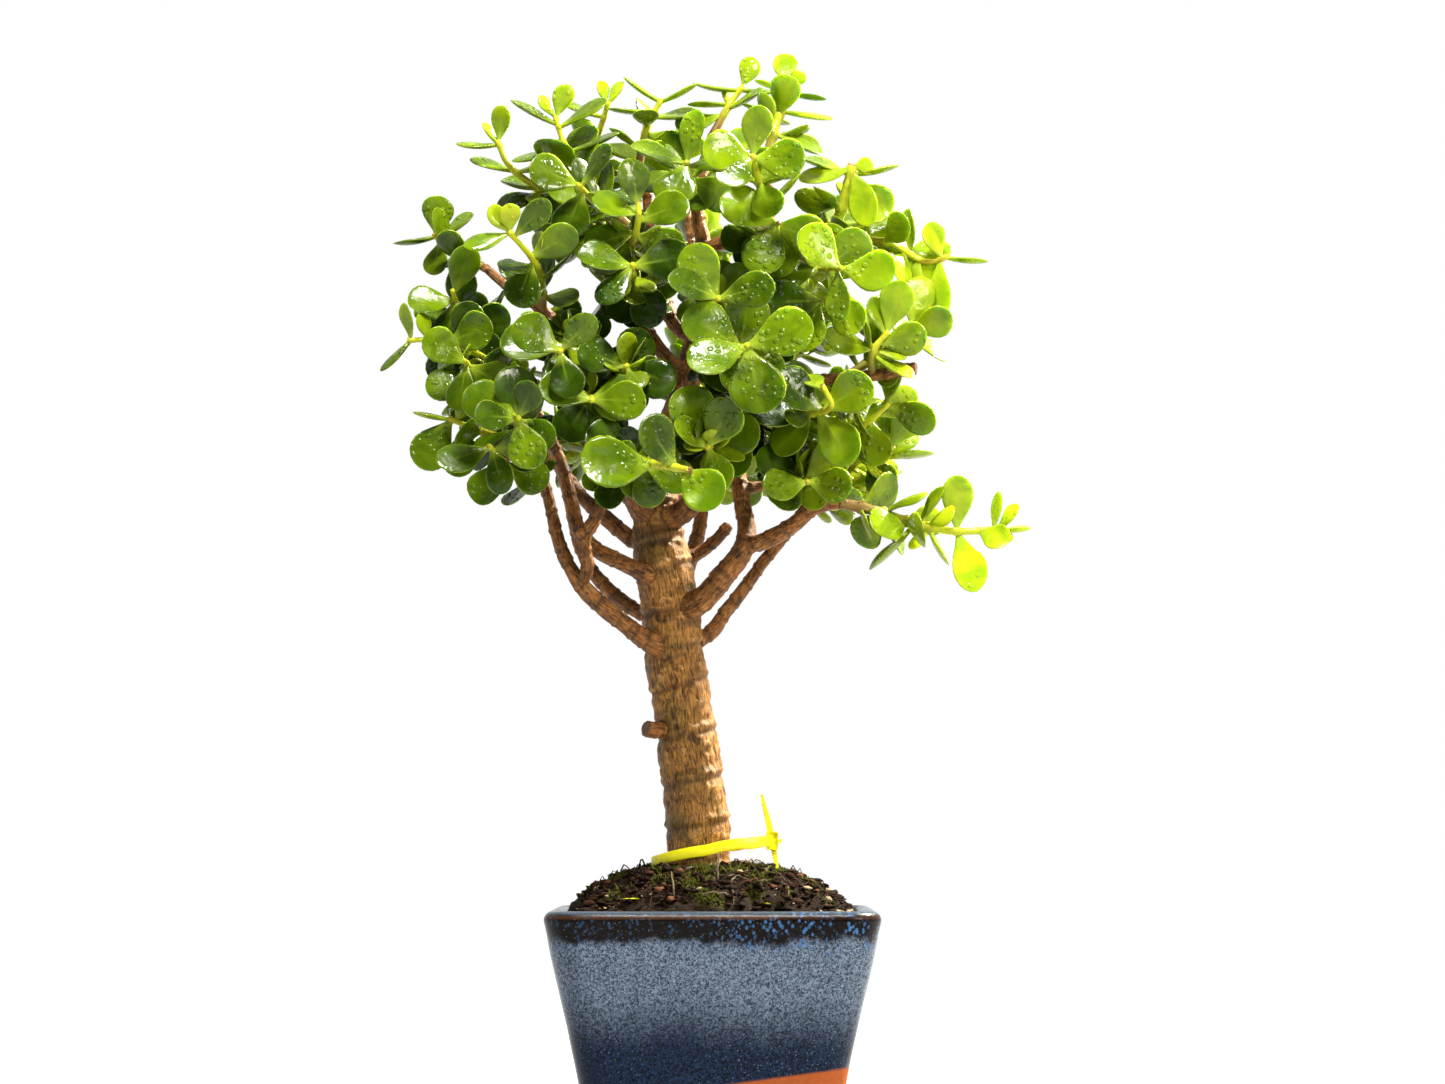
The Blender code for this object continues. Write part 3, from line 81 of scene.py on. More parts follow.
SHADED_PAIR_SPACING = 9.0
YOUNG_REACH = 18.0
CROWN_MIDDLE = (-10, -5, 180)
STRAP_WIDTH = 4.2
STRAP_THICKNESS = 1.3
STRAP_HEAD = 7.0
STRAP_TAIL = 18.0
STRAP_SPARE = 10.6
STRAP_SHIFT = 5.5
STRAP_SLACK = 0.9
STRAP_LIFT = 8.5
STRAP_HEAD_FRONT = 0.35
STRAP_UP_TAIL = [(0.0, 0.0, 0.0, 0.6), (-0.08, -0.02, 0.4, 0.54), (-0.16, -0.03, 0.72, 0.4),
                 (-0.22, -0.03, 1.0, 0.22)]
STRAP_DOWN_WIDTHS = (0.5, 0.45, 0.3)
STRAP_DOWN_SHIFT = (2.0, -1.2, 0.0)
STRAP_BUMP_SHARE = 0.4
SEAT_GAP = 0.3
LEAF_GAP = 0.35
CAP_DOME = 0.2
STEM_SIDES = 5
LEAF_OUTLINE = [(0.0, 0.0), (0.46, 0.9), (0.86, 0.84), (1.0, 0.0)]
LEAF_TOP = 0.62
LEAF_CUP = 0.06
LEAF_SINK = 0.5
TRUNK = [
    (-5, 0, 2, 1.04),
    (-6, 0, 18, 1.08),
    (-8, 0, 34, 1.05),
    (-10, 0, 49, 1.01),
    (-12, 0, 65, 0.99),
    (-15, 0, 80, 1.01),
    (-17, 0, 103, 0.98),
    (-20, 0, 119, 0.98),
    (-22, 0, 134, 0.80),
    (-21, 1, 148, 0.70),
    (-17, 2, 166, 0.60),
    (-11, 2, 185, 0.48),
    (-7, 1, 205, 0.39),
    (-5, 0, 224, 0.33),
]
LIMBS = {
    "left_low": ("trunk", [(-24, -10, 86, 4.2), (-35, -16, 94, 3.6), (-47, -19, 104, 3.4),
                           (-55, -20, 115, 2.9), (-60, -20, 127, 2.6), (-64, -17, 144, 2.4),
                           (-70, -18, 156, 2.2), (-76, -26, 169, 2.0)]),
    "left_low_fork": ("left_low", [(-48, -24, 114, 2.9), (-49, -27, 125, 2.7), (-45, -28, 133, 2.6),
                                   (-41, -28, 142, 2.3), (-40, -30, 151, 2.0)]),
    "left_mid": ("trunk", [(-26, -9, 113, 3.6), (-35, -11, 117, 3.2), (-46, -10, 123, 3.2),
                           (-52, -7, 130, 3.1), (-55, -4, 141, 3.0), (-58, -2, 153, 2.7),
                           (-64, -5, 168, 2.3), (-72, -11, 183, 2.0)]),
    "left_back": ("trunk", [(-29, 8, 99, 3.1), (-41, 14, 108, 2.9), (-49, 19, 118, 2.8),
                            (-54, 24, 131, 2.6), (-58, 29, 148, 2.4), (-65, 32, 169, 2.1)]),
    "left_upper": ("trunk", [(-31, 6, 127, 3.4), (-42, 10, 136, 3.2), (-52, 12, 145, 3.0),
                             (-61, 13, 157, 2.6), (-71, 12, 171, 2.3), (-85, 6, 185, 2.0)]),
    "front_left": ("trunk", [(-28, -8, 139, 4.3), (-32, -15, 149, 4.0), (-38, -20, 164, 3.4),
                             (-43, -22, 177, 3.0), (-47, -22, 190, 2.7), (-51, -20, 204, 2.4),
                             (-54, -20, 217, 2.0)]),
    "front_left_fork": ("front_left", [(-56, -26, 203, 2.4), (-65, -28, 213, 2.3),
                                       (-77, -28, 221, 2.1), (-88, -26, 230, 1.8)]),
    "front_right": ("trunk", [(-12, -9, 137, 4.7), (-4, -15, 144, 4.3), (2, -19, 154, 3.5),
                              (4, -20, 166, 3.1), (3, -18, 179, 2.8), (3, -17, 193, 2.5),
                              (6, -18, 208, 2.1)]),
    "right_front": ("trunk", [(-4, -10, 103, 4.9), (5, -14, 113, 4.6), (11, -15, 121, 4.3),
                              (13, -12, 130, 3.6), (11, -8, 142, 3.3), (10, -4, 156, 3.0),
                              (12, -2, 171, 2.7), (15, -4, 186, 2.4), (20, -8, 202, 2.0)]),
    "right_reach": ("right_front", [(20, -18, 125, 3.5), (31, -21, 131, 3.2), (38, -23, 137, 3.0),
                                    (45, -25, 139, 2.7), (49, -26, 139, 2.4)]),
    "right_inner": ("right_front", [(17, -6, 147, 2.2), (26, -4, 150, 2.1), (34, -4, 155, 2.0),
                                    (42, -6, 163, 1.8)]),
    "right_low": ("trunk", [(-2, 5, 90, 3.1), (5, 8, 99, 2.9), (12, 10, 108, 2.8),
                            (19, 12, 118, 2.6), (27, 13, 128, 2.4), (37, 12, 141, 2.2),
                            (48, 6, 153, 2.0)]),
    "right_stub": ("trunk", [(-7, 4, 121, 2.6), (1, 7, 127, 2.4), (6, 10, 133, 2.6)]),
    "right_bare": ("right_front", [(22, -10, 184, 2.6), (33, -18, 187, 2.5), (46, -24, 187, 2.4),
                                   (61, -28, 188, 2.4), (74, -31, 190, 2.5), (78, -32, 190, 2.6)]),
    "top_centre": ("trunk", [(-5, 0, 230, 3.6), (-4, 1, 243, 3.2), (-6, 2, 257, 2.8),
                             (-4, 2, 273, 2.4), (0, 0, 286, 2.0)]),
    "top_centre_fork": ("top_centre", [(3, -8, 242, 2.8), (12, -16, 245, 2.5), (21, -24, 249, 2.4),
                                       (21, -28, 259, 2.2), (20, -30, 269, 1.9)]),
    "top_left": ("trunk", [(-15, 7, 212, 3.3), (-20, 10, 225, 3.0), (-22, 10, 241, 2.6),
                           (-25, 8, 258, 2.3), (-29, 4, 275, 1.9)]),
    "top_left_fork": ("top_left", [(-33, 16, 236, 2.3), (-44, 18, 247, 2.1), (-54, 16, 259, 1.8)]),
    "top_right": ("trunk", [(3, -5, 224, 3.0), (13, -6, 228, 2.7), (27, -8, 231, 2.4),
                            (41, -8, 235, 2.2), (53, -4, 243, 1.9)]),
    "crown_left": ("trunk", [(-17, -7, 196, 3.0), (-25, -13, 206, 2.8), (-31, -17, 218, 2.5),
                             (-34, -20, 232, 2.2), (-33, -22, 247, 1.9)]),
    "back_low": ("trunk", [(-14, 13, 109, 3.6), (-9, 26, 121, 3.2), (-5, 38, 137, 2.8),
                           (-3, 46, 158, 2.4), (-5, 50, 178, 2.0)]),
    "back_left": ("trunk", [(-27, 12, 134, 3.3), (-34, 30, 147, 3.0), (-45, 42, 165, 2.5),
                            (-53, 50, 186, 2.0)]),
    "back_right": ("trunk", [(-12, 12, 147, 3.2), (1, 30, 163, 2.8), (16, 42, 181, 2.4),
                             (29, 48, 200, 2.0)]),
    "back_top": ("trunk", [(-9, 12, 200, 3.0), (-7, 30, 222, 2.7), (-8, 42, 245, 2.3),
                           (-11, 46, 266, 1.9)]),
}
CUT_TWIGS = [
    ("trunk", (-18, -6, 52), (-26, -12, 53), 3.4),
    ("left_low_fork", (-49, -27, 125), (-52, -30, 129), 2.2),
    ("left_low", (-70, -18, 156), (-80, -26, 158), 2.3),
    ("front_right", (4, -20, 166), (9, -24, 170), 1.8),
]
SHOOTS = {
    "right_long": ("right_reach", [(49, -26, 139), (62, -27, 136), (77, -29, 131),
                                   (93, -29, 128), (111, -29, 129)],
                   [(0.42, 195, 17, 16, 35, 5), (0.26, 230, 15, 14, -25, 10),
                    (0.46, 232, 24, 12, 5, 72), (0.56, 228, 11, 6, 0, 40),
                    (0.48, 52, 17, 9, 10, 55), (0.72, 97, 22, 13, 5, 5),
                    (0.72, 290, 24, 13, 5, 8), (0.84, 335, 14, 11, 25, 10),
                    (0.94, 82, 14, 8, 0, 50), (0.96, 42, 12, 8, 20, 30),
                    (1.0, 355, 11, 6, 0, 60), (0.97, 300, 8, 6, 20, 20)]),
    "right_low_front": ("right_inner", [(30, -4, 152), (34, -28, 149), (36, -50, 145)],
                        [(0.98, 190, 18, 15, 15, 5), (0.98, 352, 17, 14, 15, 15),
                         (0.80, 155, 21, 17, 10, 10), (0.80, 40, 19, 16, 5, 10),
                         (0.6, 110, 18, 14, 0, 30)]),
    "right_mid": ("right_front", [(12, -2, 171), (28, -30, 172), (44, -60, 172), (41, -63, 181)],
                  [(0.8, 150, 22, 17, 15, 0), (0.8, 28, 21, 17, 15, 5),
                   (0.7, 183, 24, 16, 5, 10), (0.74, 305, 25, 16, 15, 5),
                   (0.68, 235, 20, 15, -5, 15), (0.5, 90, 20, 16, 0, 20)]),
    "right_tip_low": ("right_low", [(48, 6, 153), (58, -4, 158), (70, -12, 162)],
                      [(0.7, 352, 22, 12, 5, 75), (0.95, 60, 20, 13, 10, 20),
                       (0.9, 130, 17, 14, 10, 20), (0.6, 300, 16, 13, 0, 20)]),
    "right_tip_mid": ("right_inner", [(42, -6, 163), (56, -16, 168), (68, -22, 178)],
                      [(0.95, 340, 20, 13, 5, 20), (0.75, 20, 19, 13, 0, 20),
                       (0.95, 75, 17, 11, 0, 35), (0.7, 280, 18, 15, 5, 15)]),
    "bare_branch_shoot": ("right_bare", [(61, -28, 188), (61, -36, 196), (67, -38, 204)],
                          [(0.6, 175, 20, 15, 10, 20), (0.7, 8, 18, 13, 5, 25),
                           (0.95, 75, 20, 14, 5, 15), (0.9, 110, 15, 11, 5, 30),
                           (0.5, 320, 18, 10, 0, 45)]),
    "right_upper": ("top_right", [(27, -8, 231), (40, -36, 228), (49, -60, 225)],
                    [(0.95, 140, 21, 17, 15, 0), (0.97, 348, 21, 17, 15, 5),
                     (0.9, 272, 22, 11, 5, 40), (0.75, 288, 24, 12, 0, 30),
                     (0.7, 40, 20, 16, 0, 20), (0.6, 190, 20, 16, 0, 15)]),
    "right_dark": ("right_front", [(20, -8, 202), (33, -32, 211), (44, -54, 215)],
                   [(0.9, 185, 22, 18, 10, 5), (0.85, 250, 20, 16, 5, 10),
                    (0.95, 320, 18, 14, 10, 20), (0.6, 200, 18, 15, 0, 20),
                    (0.5, 100, 18, 15, 0, 20)]),
    "right_far": ("top_right", [(53, -4, 243), (68, -8, 242), (82, -12, 234), (92, -14, 236)],
                  [(0.95, 350, 16, 7, 0, 70), (0.92, 115, 14, 12, 5, 25),
                   (0.9, 268, 26, 12, 5, 25), (0.7, 255, 22, 14, 0, 20),
                   (0.6, 85, 17, 11, 0, 50), (0.75, 60, 15, 8, 0, 60),
                   (0.55, 300, 20, 15, 0, 20)]),
    "right_far_low": ("right_bare", [(50, -25, 187), (66, -22, 198), (78, -20, 208)],
                      [(0.95, 80, 20, 15, 0, 20), (0.9, 20, 17, 13, 5, 25),
                       (0.9, 320, 18, 10, 0, 40), (0.6, 285, 17, 12, 0, 30),
                       (0.7, 150, 18, 14, 0, 15)]),
    "upper_right_cut": ("top_right", [(41, -8, 235), (49, -15, 252), (54, -20, 271)],
                        [(0.96, 200, 21, 12, 10, 25), (0.94, 292, 25, 12, 15, 20),
                         (0.98, 5, 8, 7, 10, 20), (0.9, 3, 19, 10, -5, 65),
                         (0.8, 325, 20, 16, -10, 15), (0.9, 160, 20, 12, -5, 50),
                         (0.6, 180, 18, 14, 0, 20)]),
    "top_right_tip": ("top_centre_fork", [(20, -30, 269), (24, -28, 284), (28, -22, 296),
                                          (30, -18, 303)],
                      [(1.0, 108, 12, 11, 0, 10), (0.9, 165, 13, 7, 0, 60),
                       (0.88, 343, 15, 8, 5, 60), (0.98, 40, 7, 6, 10, 20),
                       (0.6, 175, 15, 9, 0, 60), (0.62, 350, 20, 10, 5, 55),
                       (0.35, 200, 18, 14, 0, 30), (0.35, 335, 20, 13, 0, 40)]),
    "rosette_upper": ("top_centre_fork", [(21, -24, 249), (18, -45, 258), (15, -66, 267)],
                      [(1.0, 85, 19, 12, 10, 15), (0.95, 170, 20, 17, 15, 0),
                       (1.0, 222, 18, 15, 20, 5), (0.95, 355, 20, 18, 12, 5),
                       (0.6, 40, 19, 15, 0, 20), (0.6, 290, 19, 15, 0, 20)]),
    "big_leaf_front": ("top_centre_fork", [(12, -16, 245), (20, -36, 243), (25, -54, 243)],
                       [(0.95, 72, 23, 22, 15, 0), (0.92, 155, 23, 20, 10, 5),
                        (0.95, 248, 22, 17, 15, 5), (0.8, 345, 21, 17, 5, 20),
                        (0.6, 290, 20, 16, 0, 20)]),
    "top_mid": ("top_centre", [(0, 0, 286), (6, 2, 297), (12, 4, 306)],
                [(0.98, 68, 12, 9, 0, 25), (0.9, 180, 18, 8, 0, 62),
                 (0.9, 355, 15, 8, 5, 60), (0.6, 170, 18, 9, -5, 60),
                 (0.5, 20, 18, 13, 5, 45), (0.4, 200, 19, 14, 5, 35)]),
    "top_mid_left": ("top_left", [(-29, 4, 275), (-26, 2, 289), (-20, 0, 300)],
                     [(0.98, 150, 17, 8, 0, 60), (0.95, 20, 16, 8, 0, 60),
                      (0.8, 185, 18, 9, 5, 55), (0.7, 0, 19, 12, 5, 45),
                      (0.5, 160, 19, 13, 5, 35), (0.45, 330, 20, 15, 5, 25)]),
    "top_left": ("top_left_fork", [(-54, 16, 259), (-50, 12, 275), (-44, 5, 290), (-41, 0, 299)],
                 [(1.0, 112, 9, 6, 0, 30), (0.98, 55, 10, 7, 0, 40),
                  (0.85, 22, 17, 9, 0, 55), (0.85, 165, 17, 9, 0, 55),
                  (0.6, 190, 18, 12, 5, 45), (0.6, 340, 18, 13, 5, 40)]),
    "left_top": ("crown_left", [(-33, -22, 247), (-47, -23, 262), (-57, -22, 278), (-61, -20, 290)],
                 [(1.0, 75, 13, 9, 5, 25), (0.98, 130, 10, 6, 0, 30),
                  (0.92, 155, 20, 9, 0, 50), (0.9, 30, 21, 11, 5, 45),
                  (0.75, 205, 21, 10, 5, 50), (0.7, 15, 20, 10, 5, 50),
                  (0.5, 230, 18, 16, 25, 5), (0.5, 60, 17, 13, 0, 35)]),
    "left_high": ("top_left_fork", [(-44, 18, 247), (-64, 6, 262), (-79, -6, 272), (-84, -10, 282)],
                  [(0.98, 84, 14, 8, 0, 20), (0.97, 188, 16, 7, 0, 55),
                   (0.96, 130, 10, 5, 0, 45), (0.75, 165, 18, 10, 0, 50),
                   (0.75, 10, 18, 11, 5, 45), (0.5, 200, 19, 13, 5, 35),
                   (0.55, 330, 18, 15, 10, 20)]),
    "left_tip": ("front_left_fork", [(-88, -26, 230), (-99, -22, 236), (-108, -18, 244)],
                 [(0.97, 84, 15, 13, 5, 10), (0.95, 198, 16, 7, 0, 60),
                  (0.9, 30, 16, 9, 5, 45), (0.85, 262, 14, 11, 5, 20),
                  (0.6, 120, 16, 10, 0, 40), (0.5, 280, 18, 14, 5, 15)]),
    "left_shoulder": ("left_upper", [(-85, 6, 185), (-95, -8, 203), (-100, -28, 221)],
                      [(0.95, 70, 20, 13, 5, 25), (0.9, 190, 18, 15, 10, 10),
                       (0.9, 260, 20, 16, 10, 10), (0.7, 175, 18, 14, 0, 20),
                       (0.6, 20, 18, 14, 0, 20), (0.5, 230, 20, 16, 5, 15)]),
    "rosette_left": ("front_left_fork", [(-65, -28, 213), (-66, -52, 226), (-76, -74, 237)],
                     [(1.0, 200, 18, 9, 10, 10), (1.0, 132, 12, 8, 10, 10),
                      (0.97, 95, 11, 9, 10, 20), (0.92, 45, 19, 10, 10, 25),
                      (0.65, 30, 20, 14, 5, 20), (0.6, 250, 18, 15, 5, 10)]),
    "left_far": ("left_mid", [(-72, -11, 183), (-88, -26, 195), (-103, -31, 201), (-117, -32, 201)],
                 [(1.0, 228, 16, 7, 5, 50), (0.98, 92, 14, 7, 5, 40),
                  (0.72, 15, 19, 16, 20, 0), (0.85, 120, 11, 8, 5, 30),
                  (0.6, 85, 18, 14, 0, 20), (0.6, 275, 18, 13, 5, 20)]),
    "left_side_low": ("left_upper", [(-78, 9, 178), (-90, -18, 186), (-94, -42, 192)],
                      [(0.95, 150, 19, 15, 10, 5), (0.95, 262, 19, 12, 10, 20),
                       (0.9, 330, 20, 16, 10, 10), (0.7, 200, 19, 15, 5, 15),
                       (0.6, 80, 19, 15, 0, 20)]),
    "rosette_mid_left": ("front_left", [(-51, -20, 204), (-54, -46, 199), (-57, -72, 192)],
                         [(1.0, 150, 20, 17, 15, 5), (1.0, 283, 19, 14, 15, 10),
                          (0.95, 48, 18, 11, 10, 20), (0.75, 178, 24, 17, 5, 10),
                          (0.6, 320, 20, 16, 0, 20)]),
    "rosette_low_left": ("left_low", [(-76, -26, 169), (-74, -52, 166), (-72, -78, 167)],
                         [(0.95, 182, 17, 14, 20, 10), (1.0, 62, 15, 12, 20, 5),
                          (0.85, 150, 22, 18, 5, 5), (0.8, 95, 20, 17, 5, 10),
                          (0.95, 285, 20, 15, 10, 10), (0.9, 325, 17, 12, 10, 15)]),
    "left_low_far": ("left_low", [(-73, -22, 163), (-88, -30, 166), (-101, -34, 171)],
                     [(1.0, 172, 14, 6, 5, 60), (0.95, 235, 22, 17, 5, 5),
                      (0.75, 265, 20, 15, 5, 10), (0.9, 60, 19, 14, 5, 20),
                      (0.6, 120, 18, 14, 0, 20)]),
    "left_low_front": ("left_low", [(-66, -18, 149), (-77, -40, 152), (-84, -60, 158)],
                       [(0.98, 205, 22, 14, 20, 5), (0.95, 290, 18, 12, 10, 20),
                        (0.9, 20, 18, 14, 5, 20), (0.7, 245, 19, 15, 0, 10),
                        (0.6, 330, 17, 14, 5, 20)]),
    "pair_mid": ("front_left", [(-47, -22, 190), (-46, -46, 180), (-45, -70, 174)],
                 [(1.0, 165, 20, 16, 15, 10), (1.0, 358, 21, 16, 15, 5),
                  (0.7, 240, 20, 17, 5, 10), (0.65, 300, 20, 15, 0, 20),
                  (0.6, 80, 18, 14, 0, 20)]),
    "front_low": ("left_low_fork", [(-40, -30, 151), (-30, -58, 152), (-20, -82, 149),
                                    (-8, -92, 146)],
                  [(0.72, 183, 27, 23, 10, 0), (0.9, 128, 22, 17, 15, 5),
                   (0.92, 318, 21, 17, 20, 5), (0.45, 150, 21, 18, 0, 10),
                   (0.5, 290, 17, 13, 0, 25)]),
    "front_mid_low": ("front_right", [(4, -20, 166), (1, -44, 160), (-2, -64, 157)],
                      [(1.0, 60, 20, 16, 10, 5), (1.0, 290, 18, 13, 15, 10),
                       (0.9, 118, 24, 20, 5, 5), (0.75, 20, 19, 16, 5, 15),
                       (0.6, 200, 19, 15, 0, 20)]),
    "front_mid": ("front_right", [(3, -17, 193), (8, -48, 194), (13, -76, 194)],
                  [(1.0, 200, 24, 19, 15, 5), (1.0, 15, 26, 20, 12, 5),
                   (0.97, 282, 27, 22, 12, 0), (0.8, 150, 25, 20, 5, 5),
                   (0.7, 80, 22, 18, 0, 15), (0.6, 330, 20, 15, 0, 25)]),
    "front_centre": ("front_right", [(6, -18, 208), (4, -44, 212), (2, -66, 213)],
                     [(1.0, 160, 21, 14, 18, 10), (1.0, 12, 22, 15, 15, 5),
                      (0.9, 125, 23, 17, 5, 5), (0.75, 200, 17, 13, 5, 10),
                      (0.7, 330, 19, 16, 0, 20), (0.6, 60, 18, 14, 0, 20)]),
    "centre_left": ("front_left", [(-43, -22, 177), (-37, -44, 183), (-32, -62, 188)],
                    [(0.95, 160, 19, 16, 5, 10), (0.95, 340, 20, 17, 10, 10),
                     (0.9, 255, 20, 17, 5, 10), (0.7, 60, 20, 15, 0, 15),
                     (0.6, 210, 19, 15, 0, 20)]),
    "crown_stub": ("crown_left", [(-34, -20, 232), (-31, -42, 235), (-28, -60, 243),
                                  (-28, -62, 250)],
                   [(0.95, 100, 18, 13, 10, 20), (0.9, 165, 18, 12, 10, 15),
                    (0.85, 20, 20, 15, 5, 10), (0.7, 200, 20, 15, 0, 20),
                    (0.65, 340, 19, 15, 0, 20)]),
    "crown_front": ("crown_left", [(-31, -17, 218), (-30, -42, 222), (-30, -64, 226)],
                    [(1.0, 235, 20, 12, 12, 10), (0.95, 170, 21, 15, 10, 15),
                     (0.95, 10, 22, 17, 5, 10), (0.75, 130, 20, 15, 0, 15),
                     (0.65, 300, 20, 15, 0, 20)]),
    "top_front": ("top_centre", [(-6, 2, 257), (-8, -24, 263), (-10, -50, 267)],
                  [(1.0, 80, 20, 13, 5, 35), (0.95, 165, 22, 13, 5, 30),
                   (0.97, 250, 19, 17, 20, 5), (0.9, 5, 18, 13, 5, 30),
                   (0.7, 200, 20, 15, 0, 25), (0.6, 330, 19, 15, 0, 25)]),
    "left_front_high": ("crown_left", [(-34, -21, 239), (-42, -42, 249), (-51, -60, 257)],
                        [(0.98, 160, 20, 16, 15, 5), (0.95, 50, 19, 11, 5, 40),
                         (0.9, 250, 19, 15, 10, 10), (0.85, 350, 21, 13, 5, 30),
                         (0.6, 120, 20, 13, 0, 35)]),
    "back_crown": ("back_top", [(-11, 46, 266), (-12, 52, 280), (-10, 54, 292)], []),
    "back_high": ("back_top", [(-8, 42, 245), (-4, 60, 252), (-2, 76, 256)], []),
    "back_right_high": ("back_right", [(29, 48, 200), (38, 56, 214), (46, 60, 232)], []),
    "back_right_side": ("back_right", [(16, 42, 181), (36, 54, 182), (56, 58, 186)], []),
    "back_left_high": ("back_left", [(-53, 50, 186), (-60, 58, 202), (-64, 60, 220)], []),
    "back_left_side": ("back_left", [(-45, 42, 165), (-56, 60, 168), (-64, 74, 174)], []),
    "back_middle": ("back_low", [(-5, 50, 178), (-8, 66, 192), (-12, 78, 208)], []),
    "back_low_right": ("back_low", [(-3, 46, 158), (10, 64, 160), (20, 78, 166)], []),
    "left_back_low": ("left_back", [(-65, 32, 169), (-80, 36, 176), (-94, 36, 186)], []),
    "left_back_high": ("left_upper", [(-78, 9, 178), (-88, 22, 196), (-92, 24, 216)], []),
    "top_back_right": ("top_right", [(41, -8, 235), (48, 14, 243), (54, 32, 250)], []),
    "top_back_left": ("top_left", [(-22, 10, 241), (-34, 34, 250), (-46, 48, 256)], []),
    "far_back_left_top": ("top_left_fork", [(-44, 18, 247), (-56, 34, 254), (-64, 46, 266)], []),
    "far_back_right_top": ("top_right", [(46, -6, 238), (58, 14, 248), (68, 30, 256)], []),
    "far_back_right_low": ("right_low", [(37, 12, 141), (50, 26, 152), (62, 38, 162)], []),
    "back_centre": ("back_right", [(1, 30, 163), (6, 56, 178), (12, 72, 192)], []),
}


# ---- where everything grows --------------------------------------------------------------------
def plant_point(across, back, up):
    """World point in metres of a drawn plant point."""
    scale = TREE_HEIGHT / DRAWN_HEIGHT
    return Vector((across * scale * MM, back * scale * MM, soil_line() * MM + up * scale * MM))


def soil_line():
    """Height of the soil line under the trunk, in millimetres."""
    return POT_HEIGHT + SOIL_CROWN


def outer_half(height):
    """Half width of the pot's outer wall at a height."""
    share = height / POT_HEIGHT
    return (POT_BASE_WIDTH + (POT_WIDTH - 2 * POT_LIP_SWELL - POT_BASE_WIDTH) * share) / 2


def inner_half(height):
    return outer_half(height) - POT_WALL


def wall_half(height):
    """Half width of the outer wall with its slight belly, which is fullest near the rim."""
    share = height / POT_HEIGHT
    return outer_half(height) + POT_BELLY * math.sin(math.pi * share ** 3)


def corner_radius(inset):
    """Radius of the pot's corners at a distance inside its outer wall."""
    return max(POT_CORNER - inset * 0.8, POT_CORNER / 4)


def soil_height(x, y):
    """Height of the soil surface at a point, in millimetres."""
    edge = inner_half(POT_HEIGHT)
    foot = plant_point(*TRUNK[0][:3]) / MM
    reach = max(abs(x), abs(y)) / edge
    round_reach = math.hypot(x - foot.x * 0.6, y) / edge
    share = min(1.0, 0.55 * reach + 0.45 * round_reach)
    low = POT_HEIGHT - SOIL_BELOW_LIP
    crown = soil_line() - low
    bump = noise.noise(Vector((x * 0.12, y * 0.12, 3.0))) * SOIL_BUMP
    return low + crown * (1 - share ** SOIL_HEAP) + bump * (1 - share ** 4)


def trunk_base_radius():
    return TRUNK[0][3] * TRUNK_RADIUS * ROOT_FLARE


def strap_loop():
    """Middle of the strap's loop and its half sizes, clear of the trunk up to the strap's top."""
    points, radii = limb_paths()["trunk"]
    foot = plant_point(*TRUNK[0][:3])
    top = (soil_line() + STRAP_LIFT + 2 * STRAP_WIDTH) * MM
    wide = 0.0
    deep = 0.0
    for index in range(len(points) - 1):
        for share in (0.0, 0.25, 0.5, 0.75, 1.0):
            point = points[index].lerp(points[index + 1], share)
            radius = radii[index] + (radii[index + 1] - radii[index]) * share
            if foot.z - MM <= point.z <= top:
                wide = max(wide, (abs(point.x - foot.x) + radius) / MM)
                deep = max(deep, (abs(point.y - foot.y) + radius) / MM)
    across = wide + STRAP_SPARE
    near = deep + SEAT_GAP + STRAP_SLACK + STRAP_THICKNESS / 2
    near = near / math.sqrt(1 - (STRAP_SHIFT / across) ** 2)
    return foot.x / MM + STRAP_SHIFT, foot.y / MM, across, near


def strap_height(x, y, loop):
    """Height of the strap's middle line: laid on the soil at the left, held up at the right."""
    ground = 0.0
    for dx in (-STRAP_THICKNESS, 0.0, STRAP_THICKNESS):
        for dy in (-STRAP_THICKNESS, 0.0, STRAP_THICKNESS):
            ground = max(ground, soil_height(x + dx, y + dy))
    lift = STRAP_LIFT * max(0.0, min(1.0, (x - loop[0] + loop[2]) / (2 * loop[2])))
    return ground + SEAT_GAP + SOIL_BUMP * STRAP_BUMP_SHARE + STRAP_WIDTH / 2 + lift


def strap_head(loop):
    """Middle of the strap's head, in millimetres."""
    x = loop[0] + loop[2] - STRAP_THICKNESS
    y = loop[1] - loop[3] * STRAP_HEAD_FRONT
    return Vector((x, y, strap_height(x, y, loop)))


def strap_tails(loop):
    """Middle line and half widths of the tail above the head and of the short end below it."""
    head = strap_head(loop)
    half = STRAP_WIDTH / 2
    up = [head + Vector(place[:3]) * STRAP_TAIL for place in STRAP_UP_TAIL]
    up_widths = [half * place[3] for place in STRAP_UP_TAIL]
    end = head + Vector(STRAP_DOWN_SHIFT)
    end.z = soil_height(end.x, end.y) + SEAT_GAP + SOIL_BUMP * STRAP_BUMP_SHARE
    down = [head, head.lerp(end, 0.5), end]
    down_widths = [half * share for share in STRAP_DOWN_WIDTHS]
    return (up, up_widths), (down, down_widths)


